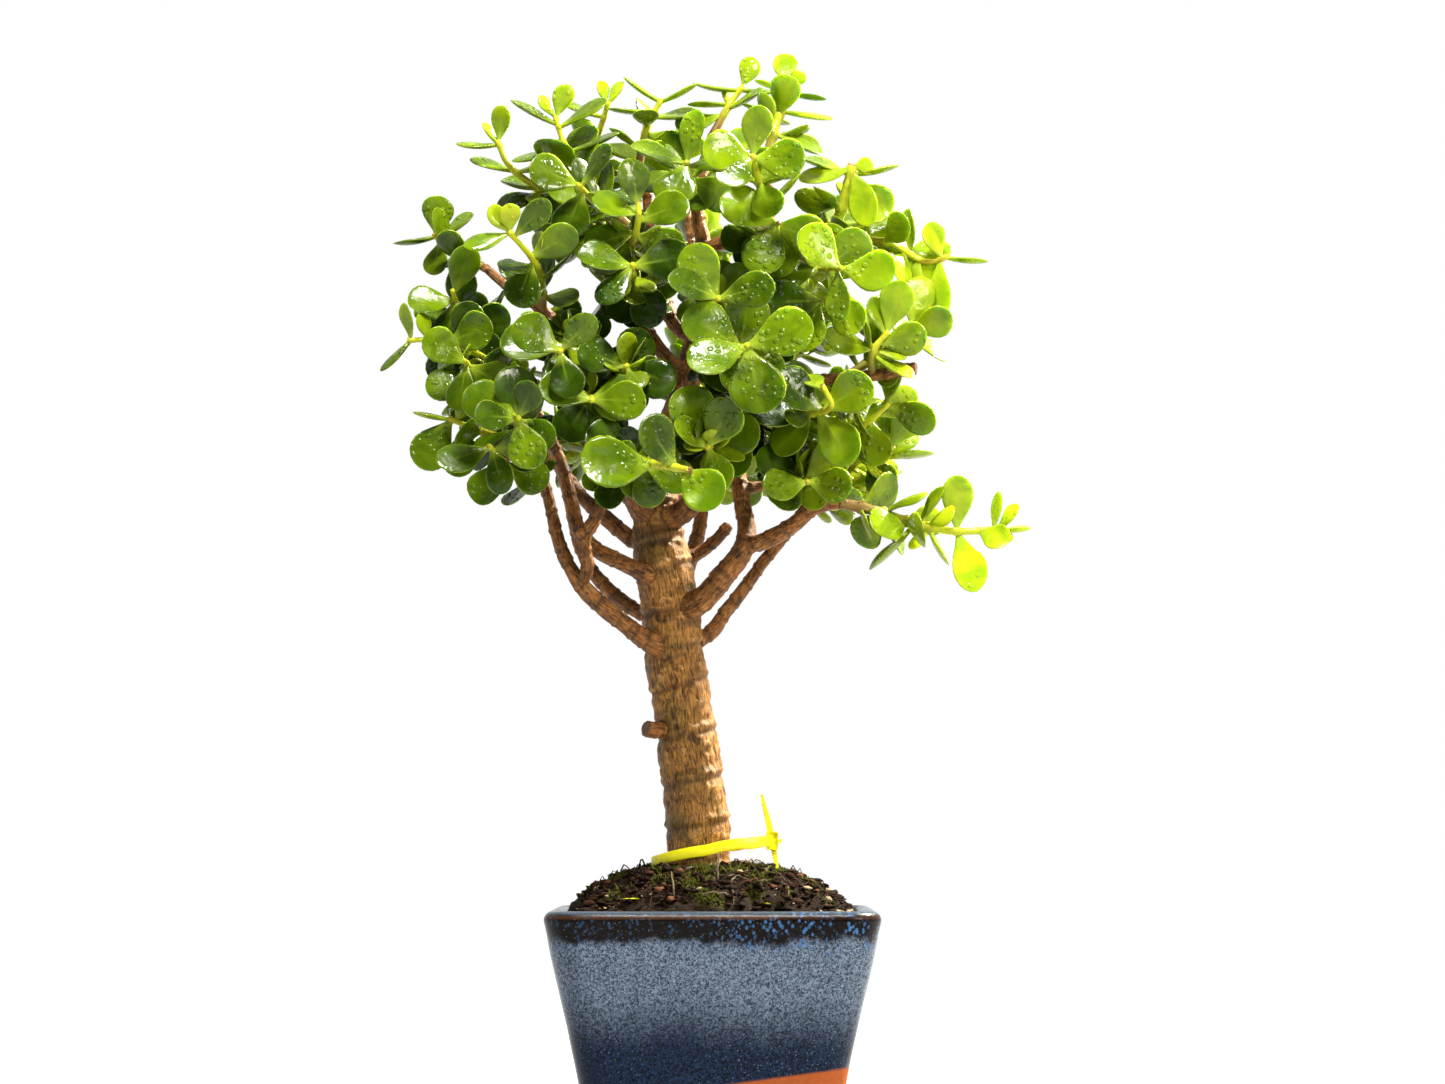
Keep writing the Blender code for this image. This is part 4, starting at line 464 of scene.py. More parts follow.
def tube(points, radii, sides, turn=0.0):
    """Closed tube through world points, with a slightly domed cap at each end."""
    verts = []
    faces = []
    normal = None
    last = len(points) - 1
    for index, point in enumerate(points):
        ahead = points[min(index + 1, last)]
        behind = points[max(index - 1, 0)]
        axis = (ahead - behind).normalized()
        if normal is None:
            helper = Vector((0, 0, 1)) if abs(axis.z) < 0.8 else Vector((1, 0, 0))
            normal = helper - axis * helper.dot(axis)
        else:
            normal = normal - axis * normal.dot(axis)
        normal.normalize()
        side = axis.cross(normal)
        for step in range(sides):
            angle = math.tau * step / sides + turn
            offset = normal * math.cos(angle) + side * math.sin(angle)
            verts.append(point + offset * radii[index])
    for index in range(last):
        for step in range(sides):
            a = index * sides + step
            b = index * sides + (step + 1) % sides
            faces.append((a, b, b + sides, a + sides))
    for end, ring in ((0, 0), (last, last * sides)):
        out = (points[0] - points[1]) if end == 0 else (points[last] - points[last - 1])
        tip = points[end] + out.normalized() * radii[end] * CAP_DOME
        verts.append(tip)
        tip_index = len(verts) - 1
        for step in range(sides):
            a = ring + step
            b = ring + (step + 1) % sides
            faces.append((b, a, tip_index) if end == 0 else (a, b, tip_index))
    return verts, faces


def nearest_on_path(path, point):
    """Nearest point of a polyline, with its index and the share along that stretch."""
    best = None
    for index in range(len(path) - 1):
        start = path[index]
        run = path[index + 1] - start
        share = max(0.0, min(1.0, (point - start).dot(run) / run.length_squared))
        spot = start + run * share
        gap = (spot - point).length
        if best is None or gap < best[0]:
            best = (gap, spot, index, share)
    return best


def along_path(path, share):
    """Point and direction at a share of a polyline's length."""
    lengths = [(b - a).length for a, b in zip(path, path[1:])]
    left = share * sum(lengths)
    for index, length in enumerate(lengths):
        if left <= length or index == len(lengths) - 1:
            axis = (path[index + 1] - path[index]).normalized()
            return path[index] + axis * min(left, length), axis
        left -= length


def limb_paths():
    """World points and radii of the trunk, the limbs and the pruned twigs."""
    trunk_points = [plant_point(*p[:3]) for p in TRUNK]
    trunk_radii = [p[3] * TRUNK_RADIUS * MM for p in TRUNK]
    base = trunk_points[0]
    flare = trunk_base_radius() * MM
    depth = (soil_line() - SOCKET_DEPTH + SEAT_GAP) * MM + flare * CAP_DOME
    trunk_points[0:0] = [Vector((base.x, base.y, depth)), Vector((base.x, base.y, base.z - 0.003))]
    trunk_radii[0:0] = [flare * 0.86, flare * 0.98]
    paths = {"trunk": (trunk_points, trunk_radii)}
    for name, (parent, drawn) in LIMBS.items():
        points = [plant_point(*p[:3]) for p in drawn]
        radii = [p[3] * LIMB_SCALE * MM for p in drawn]
        root, radius = rooted(paths[parent], points[0], points[1])
        points.insert(0, root)
        radii.insert(0, min(radius * 0.75, radii[0] * 1.2))
        paths[name] = (points, radii)
    for index, (parent, foot, end, radius) in enumerate(CUT_TWIGS):
        spot = nearest_on_path(paths[parent][0], plant_point(*foot))[1]
        half = (plant_point(*foot) + plant_point(*end)) / 2
        radii = [radius * LIMB_SCALE * MM] * 3
        paths[f"cut_twig_{index}"] = ([spot, half, plant_point(*end)], radii)
    return paths


def rooted(parent, leaves_at, ahead):
    """Point inside the parent from which a limb sets out, and the parent's radius there."""
    points, radii = parent
    gap, spot = nearest_on_path(points, leaves_at)[:2]
    back = (leaves_at - ahead).normalized() * gap * 0.5
    spot, index, share = nearest_on_path(points, spot + back)[1:]
    radius = radii[index] * (1 - share) + radii[index + 1] * share
    return spot, radius


def leaf_mesh(base, along, face, length, width, thickness, grow=0.0):
    """Fleshy leaf: obovate outline with an upper and a lower crown. grow widens it all round."""
    side = along.cross(face).normalized()
    middle = base + along * length * 0.5
    verts = []
    rim = list(LEAF_OUTLINE)
    rim += [(a, -w) for a, w in reversed(LEAF_OUTLINE[1:-1])]
    for share, wide in rim:
        spot = base + along * length * share + side * wide * width / 2
        spot += face * length * LEAF_CUP * share * share
        if grow:
            spot += (spot - middle).normalized() * grow
        verts.append(spot)
    lift = face * (thickness / 2 + grow)
    crown = base + along * length * LEAF_TOP + face * length * LEAF_CUP * LEAF_TOP ** 2
    verts.append(crown + lift * 0.7)
    verts.append(crown - lift * 1.3)
    count = len(rim)
    faces = []
    for step in range(count):
        after = (step + 1) % count
        faces.append((after, step, count))
        faces.append((step, after, count + 1))
    return verts, faces


class Room:
    """What already stands: a new leaf is only set where it touches none of it."""

    def __init__(self):
        self.items = []

    def add(self, owner, verts, faces):
        tree = BVHTree.FromPolygons([tuple(v) for v in verts], faces)
        self.items.append((owner, tree, *bounds(verts)))

    def is_clear(self, owner, verts, faces):
        low, high = bounds(verts)
        tree = None
        for other, other_tree, other_low, other_high in self.items:
            if other == owner:
                continue
            if any(low[k] > other_high[k] or high[k] < other_low[k] for k in range(3)):
                continue
            if tree is None:
                tree = BVHTree.FromPolygons([tuple(v) for v in verts], faces)
            if tree.overlap(other_tree):
                return False
        return True


def bounds(verts):
    low = [min(v[k] for v in verts) for k in range(3)]
    high = [max(v[k] for v in verts) for k in range(3)]
    return low, high


def leaf_axes(angle, lean, roll):
    """Direction and face of a leaf from its angle in the front view, its lean and its roll."""
    a, b = math.radians(angle), math.radians(lean)
    along = Vector((math.cos(a) * math.cos(b), -math.sin(b), math.sin(a) * math.cos(b)))
    face = Vector((0.0, -1.0, 0.3))
    face = (face - along * face.dot(along)).normalized()
    face = Matrix.Rotation(math.radians(roll), 3, along) @ face
    if face.z < 0 and roll > 25:
        face = Matrix.Rotation(math.radians(-2 * roll), 3, along) @ face
    return along, face


class Shoot:
    """One leafy shoot: its stem path, its stem mesh and the leaves that found room."""

    def __init__(self, name, limb, points, drawn, paths):
        self.name = "shoot_" + name
        self.drawn = drawn
        path = [plant_point(*p) for p in points]
        limb_points, limb_radii = paths[limb]
        spot, index = nearest_on_path(limb_points, path[0])[1:3]
        path[0] = spot
        self.path = path
        self.leaves = []
        self.foot_radius = limb_radii[index + 1]
        last = len(path) - 1
        taper = (STEM_TIP_RADIUS - STEM_RADIUS) / last
        self.radii = [(STEM_RADIUS + taper * k) * MM for k in range(last + 1)]
        self.length = sum((b - a).length for a, b in zip(path, path[1:]))

    def stem_parts(self):
        return tube(self.path, self.radii, STEM_SIDES, turn=0.2)

    def try_leaf(self, room, share, along, face, length, width):
        """Sets a leaf on the stem if it has room; says whether it did."""
        share = min(share, 1 - 1.5 * self.radii[-1] / self.length)
        spot, axis = along_path(self.path, share)
        radius = self.radii[0] + (self.radii[-1] - self.radii[0]) * share
        base = spot + along * LEAF_SINK * radius / max(along.cross(axis).length, 0.5)
        thickness = LEAF_THICKNESS * MM
        args = (base, along, face, length * MM, width * MM, thickness)
        verts, faces = leaf_mesh(*args, grow=LEAF_GAP * MM)
        if not room.is_clear(self.name, verts, faces):
            return False
        middle = base + along * length * 0.6 * MM
        for other in self.leaves:
            far = (other["middle"] - middle).length
            if far < 0.42 * (length + other["length"]) / 2 * MM:
                return False
        verts, faces = leaf_mesh(*args)
        room.add(self.name, verts, faces)
        self.leaves.append({"middle": middle, "length": length, "base": base, "along": along,
                            "face": face, "width": width, "share": share, "verts": verts})
        return True


def place_drawn(shoot, room):
    """Leaves drawn one by one; each is turned or made smaller until it has room."""
    size = LEAF_LENGTH / DRAWN_LEAF
    for share, angle, length, width, lean, roll in shoot.drawn:
        for turn, tip, shrink in ((0, 0, 1), (0, 12, 1), (0, -12, 1), (8, 0, 0.95), (-8, 0, 0.95),
                                  (0, 24, 0.9), (12, 12, 0.9), (-12, 12, 0.9), (0, 0, 0.8),
                                  (15, -12, 0.8), (-15, 30, 0.8), (0, 40, 0.75)):
            along, face = leaf_axes(angle + turn, lean + tip, roll)
            scale = size * shrink
            if shoot.try_leaf(room, share, along, face, length * scale, width * scale):
                break


def place_pairs(shoot, room, dice, first, last, pitch):
    """Opposite pairs of leaves up the stem, each pair turned a quarter from the one below."""
    size = LEAF_LENGTH / DRAWN_LEAF
    spacing = pitch * MM / shoot.length
    share = last
    quarter = dice.uniform(0, math.tau)
    centre = plant_point(*CROWN_MIDDLE)
    while share > first:
        spot, axis = along_path(shoot.path, share)
        helper = Vector((0, 0, 1)) if abs(axis.z) < 0.8 else Vector((1, 0, 0))
        right = axis.cross(helper).normalized()
        back = axis.cross(right)
        outward = (spot - centre).normalized()
        for half in (0, math.pi):
            age = min(1.0, (1 - share) * shoot.length / (YOUNG_REACH * MM))
            length = dice.uniform(15.5, 20.5) * size * (YOUNG_LEAF + (1 - YOUNG_LEAF) * age)
            width = length * dice.uniform(0.7, 0.86)
            for attempt in range(7):
                angle = quarter + half + dice.uniform(-0.5, 0.5)
                spread = math.radians(dice.uniform(42, 75))
                radial = right * math.cos(angle) + back * math.sin(angle)
                along = (axis * math.cos(spread) + radial * math.sin(spread)).normalized()
                face = axis * 0.7 + outward * 0.8 + Vector((0, -0.1, 0.6))
                face = (face - along * face.dot(along)).normalized()
                face = Matrix.Rotation(dice.uniform(-0.4, 0.4), 3, along) @ face
                shrink = 1.0 - 0.06 * attempt
                if shoot.try_leaf(room, share, along, face, length * shrink, width * shrink):
                    break
        quarter += math.pi / 2 + dice.uniform(-0.15, 0.15)
        share -= spacing


# ---- building helpers --------------------------------------------------------------------------
def store_vectors(mesh, key, values):
    """Stores a vector on each of the mesh's points."""
    layer = mesh.attributes.new(key, "FLOAT_VECTOR", "POINT")
    layer.data.foreach_set("vector", np.asarray(values, dtype=np.float32).ravel())


def point_vectors(mesh, key):
    """Places or normals of the mesh's points as rows."""
    values = np.empty(len(mesh.vertices) * 3)
    mesh.vertices.foreach_get(key, values)
    return values.reshape(-1, 3)


def add_object(name, verts, faces, material, attributes=None):
    """Smooth-shaded mesh object in metres, with float vectors stored on its points."""
    mesh = bpy.data.meshes.new(name)
    mesh.from_pydata([tuple(v) for v in verts], [], faces)
    mesh.update()
    for key, values in (attributes or {}).items():
        store_vectors(mesh, key, values)
    mesh.shade_smooth()
    obj = bpy.data.objects.new(name, mesh)
    bpy.context.scene.collection.objects.link(obj)
    if material:
        mesh.materials.append(material)
    return obj


def place(obj, slot, *nodes):
    """The piece rides on the one body and stands for these nodes, whose imported parts it hides; slot is
    not used.
    """
    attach(obj, "root")
    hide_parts(*nodes)


class Gather:
    """Collects vertices, faces and point vectors of many small shapes for one mesh."""

    def __init__(self, *keys):
        self.verts = []
        self.faces = []
        self.count = 0
        self.data = {key: [] for key in keys}

    def add(self, verts, faces, **vectors):
        verts = np.asarray(verts, dtype=float)
        self.verts.append(verts)
        self.faces += [tuple(i + self.count for i in face) for face in faces]
        self.count += len(verts)
        for key, value in vectors.items():
            value = np.asarray(value, dtype=float)
            self.data[key].append(np.broadcast_to(value, (len(verts), 3)))

    def build(self, name, material):
        attributes = {key: np.concatenate(values) for key, values in self.data.items()}
        return add_object(name, np.concatenate(self.verts), self.faces, material, attributes)


def ring_faces(rings, sides):
    """Quads between stacked rings of equal count, with a face over each end."""
    faces = []
    for level in range(rings - 1):
        for step in range(sides):
            a = level * sides + step
            b = level * sides + (step + 1) % sides
            faces.append((a, b, b + sides, a + sides))
    faces.append(tuple(reversed(range(sides))))
    faces.append(tuple(range((rings - 1) * sides, rings * sides)))
    return faces


def smooth_path(points, radii, step):
    """Catmull-Rom path through points, sampled about every step, with its radii."""
    pts = np.array([tuple(p) for p in points])
    rad = np.array(radii, dtype=float)
    pts = np.vstack([2 * pts[0] - pts[1], pts, 2 * pts[-1] - pts[-2]])
    rad = np.concatenate([[rad[0]], rad, [rad[-1]]])
    out = []
    wide = []
    for k in range(1, len(pts) - 2):
        count = max(2, int(np.linalg.norm(pts[k + 1] - pts[k]) / step))
        for t in np.arange(count) / count:
            a, b, c, d = pts[k - 1], pts[k], pts[k + 1], pts[k + 2]
            out.append(0.5 * ((2 * b) + (c - a) * t + (2 * a - 5 * b + 4 * c - d) * t * t
                              + (3 * b - a - 3 * c + d) * t ** 3))
            wide.append(rad[k] + (rad[k + 1] - rad[k]) * t)
    out.append(pts[-2])
    wide.append(rad[-2])
    return np.array(out), np.array(wide)


def path_frames(path):
    """Unit tangent and two steady normals at each point of a path."""
    tangent = np.gradient(path, axis=0)
    tangent /= np.linalg.norm(tangent, axis=1, keepdims=True)
    first = np.zeros_like(path)
    helper = np.array([0.0, 0.0, 1.0]) if abs(tangent[0][2]) < 0.8 else np.array([1.0, 0.0, 0.0])
    for k, axis in enumerate(tangent):
        helper = helper - axis * helper.dot(axis)
        helper = helper / np.linalg.norm(helper)
        first[k] = helper
    return tangent, first, np.cross(tangent, first)


def swept(path, radii, sides):
    """Points of the round rings along a path."""
    _, first, second = path_frames(path)
    turn = np.linspace(0, 2 * np.pi, sides, endpoint=False)
    ring = first[:, None, :] * np.cos(turn)[None, :, None]
    ring = ring + second[:, None, :] * np.sin(turn)[None, :, None]
    return (path[:, None, :] + ring * np.asarray(radii)[:, None, None]).reshape(-1, 3)


# ---- materials -----------------------------------------------------------------------------------
# Colours as pairs, shaded part first, and single ones.
# The deepest leaf green is painted shade for leaves inside the crown and on its left.
LEAF_SHADED_GREEN = ((0.011, 0.027, 0.0004), (0.036, 0.076, 0.001))
LEAF_FRESH = ((0.1, 0.19, 0.002), (0.25, 0.37, 0.004))
LEAF_LIME = ((0.3, 0.44, 0.008), (0.58, 0.64, 0.012))
LEAF_BASE = (0.32, 0.42, 0.03)
LEAF_RIB = (0.26, 0.38, 0.03)
LEAF_RIM_LIGHT = (0.42, 0.48, 0.05)
LEAF_SPECK = (0.4, 0.5, 0.12)
STEM_GREEN = ((0.2, 0.26, 0.015), (0.48, 0.5, 0.02))
STEM_RUSSET = (0.25, 0.12, 0.02)
DRY_TIP = ((0.1, 0.035, 0.012), (0.3, 0.15, 0.06))
LIMB_BARK = ((0.028, 0.009, 0.002), (0.42, 0.165, 0.036))
TRUNK_BARK = ((0.028, 0.011, 0.002), (0.5, 0.225, 0.04))
BARK_PALE = (0.6, 0.33, 0.11)
BARK_BAND = (0.05, 0.022, 0.008)
BARK_MOSS = ((0.025, 0.019, 0.004), (0.17, 0.13, 0.026))
BARK_CRACK = (0.012, 0.005, 0.002)
BARK_GROOVE = (0.03, 0.013, 0.005)
BARK_SHADE = (0.03, 0.012, 0.003)
CUT_WOOD = ((0.05, 0.018, 0.008), (0.3, 0.16, 0.075))
GLAZE_NAVY = ((0.0, 0.0005, 0.003), (0.009, 0.026, 0.068))
GLAZE_GREY = ((0.02, 0.035, 0.06), (0.185, 0.235, 0.32))
GLAZE_BLACK = ((0.0015, 0.001, 0.001), (0.014, 0.006, 0.004))
GLAZE_FLECK = (0.05, 0.15, 0.34)
GLAZE_LIGHT = (0.25, 0.31, 0.37)
GLAZE_LIP_HIGHLIGHT = (0.06, 0.085, 0.12)
GLAZE_BREAK = (0.07, 0.03, 0.014)
CLAY = ((0.23, 0.045, 0.008), (0.48, 0.12, 0.03))
SOIL_BLACK = ((0.0002, 0.0001, 0.0001), (0.03, 0.012, 0.006))
SOIL_BROWN = (0.16, 0.065, 0.03)
SOIL_SHADE = (0.004, 0.003, 0.002)
MOSS_GREEN = ((0.006, 0.011, 0.0008), (0.1, 0.12, 0.008))
STRAW_AND_GLINT = ((0.25, 0.17, 0.09), (0.6, 0.5, 0.34))
FALLEN_YELLOW = (0.55, 0.6, 0.02)
STRAP_BRIGHT = ((0.82, 0.76, 0.002), (1.0, 0.93, 0.003))
STRAP_DIRT = (0.4, 0.36, 0.01)
MESH_DARK = ((0.012, 0.012, 0.012), (0.05, 0.048, 0.045))


class Shader:
    """Small writer of node trees: each call adds one node and returns its output."""

    def __init__(self, name):
        self.material = bpy.data.materials.new(name)
        self.material.use_nodes = True
        self.tree = self.material.node_tree
        self.main = self.tree.nodes["Principled BSDF"]

    def wire(self, source, target):
        if isinstance(source, (int, float)):
            target.default_value = source
        elif isinstance(source, tuple):
            target.default_value = source if len(source) == len(target.default_value) else (*source, 1.0)
        else:
            self.tree.links.new(source, target)

    def place_of(self):
        return self.tree.nodes.new("ShaderNodeTexCoord").outputs["Object"]

    def attribute(self, name):
        node = self.tree.nodes.new("ShaderNodeAttribute")
        node.attribute_name = name
        return node.outputs["Vector"]

    def split(self, vector):
        node = self.tree.nodes.new("ShaderNodeSeparateXYZ")
        self.wire(vector, node.inputs[0])
        return node.outputs[0], node.outputs[1], node.outputs[2]

    def scale(self, vector, x, y, z):
        node = self.tree.nodes.new("ShaderNodeMapping")
        self.wire(vector, node.inputs["Vector"])
        node.inputs["Scale"].default_value = (x, y, z)
        return node.outputs[0]

    def noise(self, vector, scale, detail=3.0, rough=0.5, warp=0.0):
        node = self.tree.nodes.new("ShaderNodeTexNoise")
        self.wire(vector, node.inputs["Vector"])
        self.wire(scale, node.inputs["Scale"])
        self.wire(detail, node.inputs["Detail"])
        self.wire(rough, node.inputs["Roughness"])
        self.wire(warp, node.inputs["Distortion"])
        return node.outputs[0]

    def cells(self, vector, scale):
        node = self.tree.nodes.new("ShaderNodeTexVoronoi")
        self.wire(vector, node.inputs["Vector"])
        self.wire(scale, node.inputs["Scale"])
        return node.outputs["Distance"]

    def math(self, kind, a, b=0.0):
        node = self.tree.nodes.new("ShaderNodeMath")
        node.operation = kind
        self.wire(a, node.inputs[0])
        self.wire(b, node.inputs[1])
        return node.outputs[0]

    def times(self, a, b):
        return self.math("MULTIPLY", a, b)

    def plus(self, a, b):
        return self.math("ADD", a, b)

    def span(self, value, low, high, to_low=0.0, to_high=1.0):
        node = self.tree.nodes.new("ShaderNodeMapRange")
        node.interpolation_type = "SMOOTHSTEP"
        self.wire(value, node.inputs["Value"])
        ends = {"From Min": low, "From Max": high, "To Min": to_low, "To Max": to_high}
        for key, number in ends.items():
            self.wire(number, node.inputs[key])
        return node.outputs["Result"]

    def mix(self, share, a, b):
        node = self.tree.nodes.new("ShaderNodeMix")
        node.data_type = "RGBA"
        self.wire(share, node.inputs["Factor"])
        self.wire(a, node.inputs[6])
        self.wire(b, node.inputs[7])
        return node.outputs[2]

    def bump(self, height, distance, strength=1.0, under=None):
        node = self.tree.nodes.new("ShaderNodeBump")
        self.wire(height, node.inputs["Height"])
        node.inputs["Distance"].default_value = distance
        node.inputs["Strength"].default_value = strength
        if under:
            self.wire(under, node.inputs["Normal"])
        return node.outputs[0]

    def finish(self, colour, roughness, normal=None, **constants):
        self.wire(colour, self.main.inputs["Base Color"])
        self.wire(roughness, self.main.inputs["Roughness"])
        if normal:
            self.wire(normal, self.main.inputs["Normal"])
        for key, value in constants.items():
            self.main.inputs[key.replace("_", " ")].default_value = value
        return self.material


def leaf_material():
    """Fleshy leaf: tint = (young growth plus painted light, tone plus painted shade, stem), place =
    (across, along, dryness).
    """
    s = Shader("leaf")
    youth_and_light, tone, stem = s.split(s.attribute("tint"))
    across, along, dry = s.split(s.attribute("place"))
    here = s.place_of()
    cloud = s.noise(here, 70, 3, 0.55, 0.6)
    fine = s.noise(here, 900, 2, 0.6)
    # Painted shade: the deep green is for leaves inside the crown and on its left.
    deep = s.mix(s.span(cloud, 0.35, 0.7), *LEAF_SHADED_GREEN)
    fresh = s.mix(s.span(cloud, 0.3, 0.7), *LEAF_FRESH)
    green = s.mix(tone, deep, fresh)
    # Lime for young leaves, and painted light on leaves out in the sun.
    lime = s.mix(s.span(cloud, 0.35, 0.7), *LEAF_LIME)
    colour = s.mix(youth_and_light, green, lime)
    base = s.times(s.span(along, 0.34, 0.0), 0.75)
    colour = s.mix(base, colour, LEAF_BASE)
    rib = s.times(s.span(s.math("ABSOLUTE", across), 0.0, 0.14, 1.0, 0.0),
                  s.span(along, 0.0, 0.8, 0.45, 0.0))
    colour = s.mix(rib, colour, LEAF_RIB)
    # Painted rim light: a paler band along the edge and tip of each leaf, broken up by noise.
    edge = s.span(s.math("ABSOLUTE", across), 0.93, 1.0)
    rim = s.math("MAXIMUM", edge, s.span(along, 0.975, 1.0))
    rim = s.times(rim, s.span(s.noise(here, 50, 2), 0.35, 0.65, 0.1, 0.6))
    colour = s.mix(rim, colour, LEAF_RIM_LIGHT)
    speck = s.times(s.span(fine, 0.66, 0.8), 0.16)
    colour = s.mix(speck, colour, LEAF_SPECK)
    shoot = s.mix(tone, *STEM_GREEN)
    shoot = s.mix(s.span(cloud, 0.45, 0.7, 0.0, 0.6), shoot, STEM_RUSSET)
    colour = s.mix(stem, colour, shoot)
    colour = s.mix(dry, colour, s.mix(fine, *DRY_TIP))
    rough = s.plus(s.span(s.noise(here, 140, 2), 0.35, 0.7, 0.12, 0.3),
                   s.times(dry, 0.3))
    soft = s.bump(s.noise(here, 260, 2, 0.5), 0.0004, 0.7)
    wet = s.times(s.span(s.cells(here, 330), 0.42, 0.2),
                  s.span(s.noise(here, 24, 2), 0.5, 0.56))
    drops = s.bump(wet, 0.0005, 0.9, soft)
    normal = s.bump(fine, 0.00006, 0.6, drops)
    return s.finish(colour, rough, normal, Subsurface_Weight=0.16, Subsurface_Scale=0.004,
                    Subsurface_Radius=(0.6, 1.0, 0.05), Specular_IOR_Level=0.25)


def bark_material():
    """Bark: run = (around, along, limb) in millimetres, mark = (groove, trunk, cut)."""
    s = Shader("bark")
    run = s.attribute("run")
    groove, trunk, cut = s.split(s.attribute("mark"))
    here = s.place_of()
    _, _, tall = s.split(here)
    lines = s.noise(s.scale(run, 1.0, 0.16, 1.0), 1.5, 5, 0.68, 0.8)
    flake = s.noise(s.scale(run, 0.5, 0.35, 1.0), 0.45, 6, 0.72, 0.8)
    band = s.noise(s.scale(run, 0.05, 0.3, 1.0), 0.5, 3, 0.6, 0.6)
    cloud = s.noise(here, 55, 3, 0.6)
    fine = s.noise(here, 1300, 3, 0.65)
    thread = s.span(lines, 0.32, 0.66)
    limb = s.mix(thread, *LIMB_BARK)
    stem = s.mix(thread, *TRUNK_BARK)
    colour = s.mix(trunk, limb, stem)
    pale = s.plus(0.4, s.times(trunk, 0.45))
    pale = s.times(s.span(flake, 0.54, 0.66), pale)
    colour = s.mix(pale, colour, BARK_PALE)
    colour = s.mix(s.times(s.span(band, 0.5, 0.66), 0.5), colour, BARK_BAND)
    moss = s.times(s.span(cloud, 0.48, 0.68), s.times(trunk, 0.55))
    colour = s.mix(moss, colour, s.mix(thread, *BARK_MOSS))
    colour = s.mix(s.times(s.span(flake, 0.46, 0.34), 0.8), colour, BARK_CRACK)
    colour = s.mix(s.times(groove, 0.5), colour, BARK_GROOVE)
    colour = s.mix(cut, colour, s.mix(fine, *CUT_WOOD))
    shade = s.times(s.span(tall, 0.19, 0.26, 0.0, 0.3), trunk)
    colour = s.mix(shade, colour, BARK_SHADE)
    rough = s.span(flake, 0.3, 0.75, 0.34, 0.62)
    low = s.bump(lines, 0.0007, 0.8)
    mid = s.bump(flake, 0.0010, 0.9, low)
    normal = s.bump(fine, 0.0002, 0.8, mid)
    return s.finish(colour, rough, normal, Specular_IOR_Level=0.26)


def glaze_material():
    """Speckled glaze: near black under the lip, blue grey below, navy low down, bare clay foot."""
    s = Shader("glaze")
    here = s.place_of()
    x, y, z = s.split(here)
    drift = s.noise(here, 22, 3, 0.55, 0.4)
    ragged = s.noise(s.scale(here, 1.0, 1.0, 0.4), 130, 4, 0.7)
    sway = s.plus(s.times(s.math("SUBTRACT", drift, 0.5), 14.0),
                  s.times(s.math("SUBTRACT", ragged, 0.5), 9.0))
    plain = s.times(z, 1000.0)
    height = s.plus(plain, sway)
    curd = s.noise(here, 1150, 2, 0.75, 1.0)
    mottle = s.span(curd, 0.4, 0.62)
    low = s.mix(mottle, *GLAZE_NAVY)
    middle = s.mix(mottle, *GLAZE_GREY)
    dark = s.mix(s.span(curd, 0.5, 0.7), *GLAZE_BLACK)
    colour = s.mix(s.span(height, 21, 48), low, middle)
    colour = s.mix(s.span(height, 60.5, 64.5), colour, dark)
    side = s.span(s.times(x, 1000.0), -20, 45, 0.25, 1.0)
    cell = s.cells(s.scale(here, 1.0, 1.0, 0.75), 640)
    fleck = s.times(s.span(cell, 0.5, 0.3), s.span(s.noise(here, 150, 3), 0.42, 0.56))
    fleck = s.times(fleck, s.times(side, s.span(height, 57, 62)))
    fleck = s.times(fleck, s.span(plain, 74.6, 73.4))
    colour = s.mix(s.times(fleck, 0.85), colour, GLAZE_FLECK)
    light = s.times(s.span(s.cells(here, 700), 0.2, 0.08), s.span(drift, 0.4, 0.6, 0.1, 0.5))
    colour = s.mix(light, colour, GLAZE_LIGHT)
    # Painted highlight: the top of the lip is a paler blue grey.
    lip = s.times(s.span(plain, POT_HEIGHT - 2.0, POT_HEIGHT - 0.6), 0.5)
    colour = s.mix(lip, colour, GLAZE_LIP_HIGHLIGHT)
    brk = s.times(s.span(plain, POT_HEIGHT - 3.4, POT_HEIGHT - 2.4),
                  s.span(plain, POT_HEIGHT - 1.0, POT_HEIGHT - 2.0))
    colour = s.mix(s.times(brk, s.span(drift, 0.35, 0.6, 0.2, 0.7)), colour, GLAZE_BREAK)
    slant = s.plus(s.times(x, 137.0), s.times(drift, 5.0))
    behind = s.plus(s.times(y, 1000.0), 44.0)
    fall = s.times(s.math("MAXIMUM", behind, 0.0), 0.17)
    line = s.plus(s.math("SUBTRACT", plain, s.plus(slant, 5.4)), fall)
    clay = s.times(s.span(line, 0.9, -0.5), s.span(plain, 60, 40))
    foot = s.span(plain, 2.6, 1.6)
    clay = s.math("MAXIMUM", clay, foot)
    earth = s.mix(s.noise(here, 700, 4, 0.7), *CLAY)
    colour = s.mix(clay, colour, earth)
    rough = s.plus(s.span(curd, 0.3, 0.7, 0.14, 0.26), s.times(clay, 0.5))
    wave = s.bump(s.noise(here, 55, 2), 0.0012, 0.35)
    normal = s.bump(curd, 0.00022, 0.5, wave)
    return s.finish(colour, rough, normal, Specular_IOR_Level=0.12)


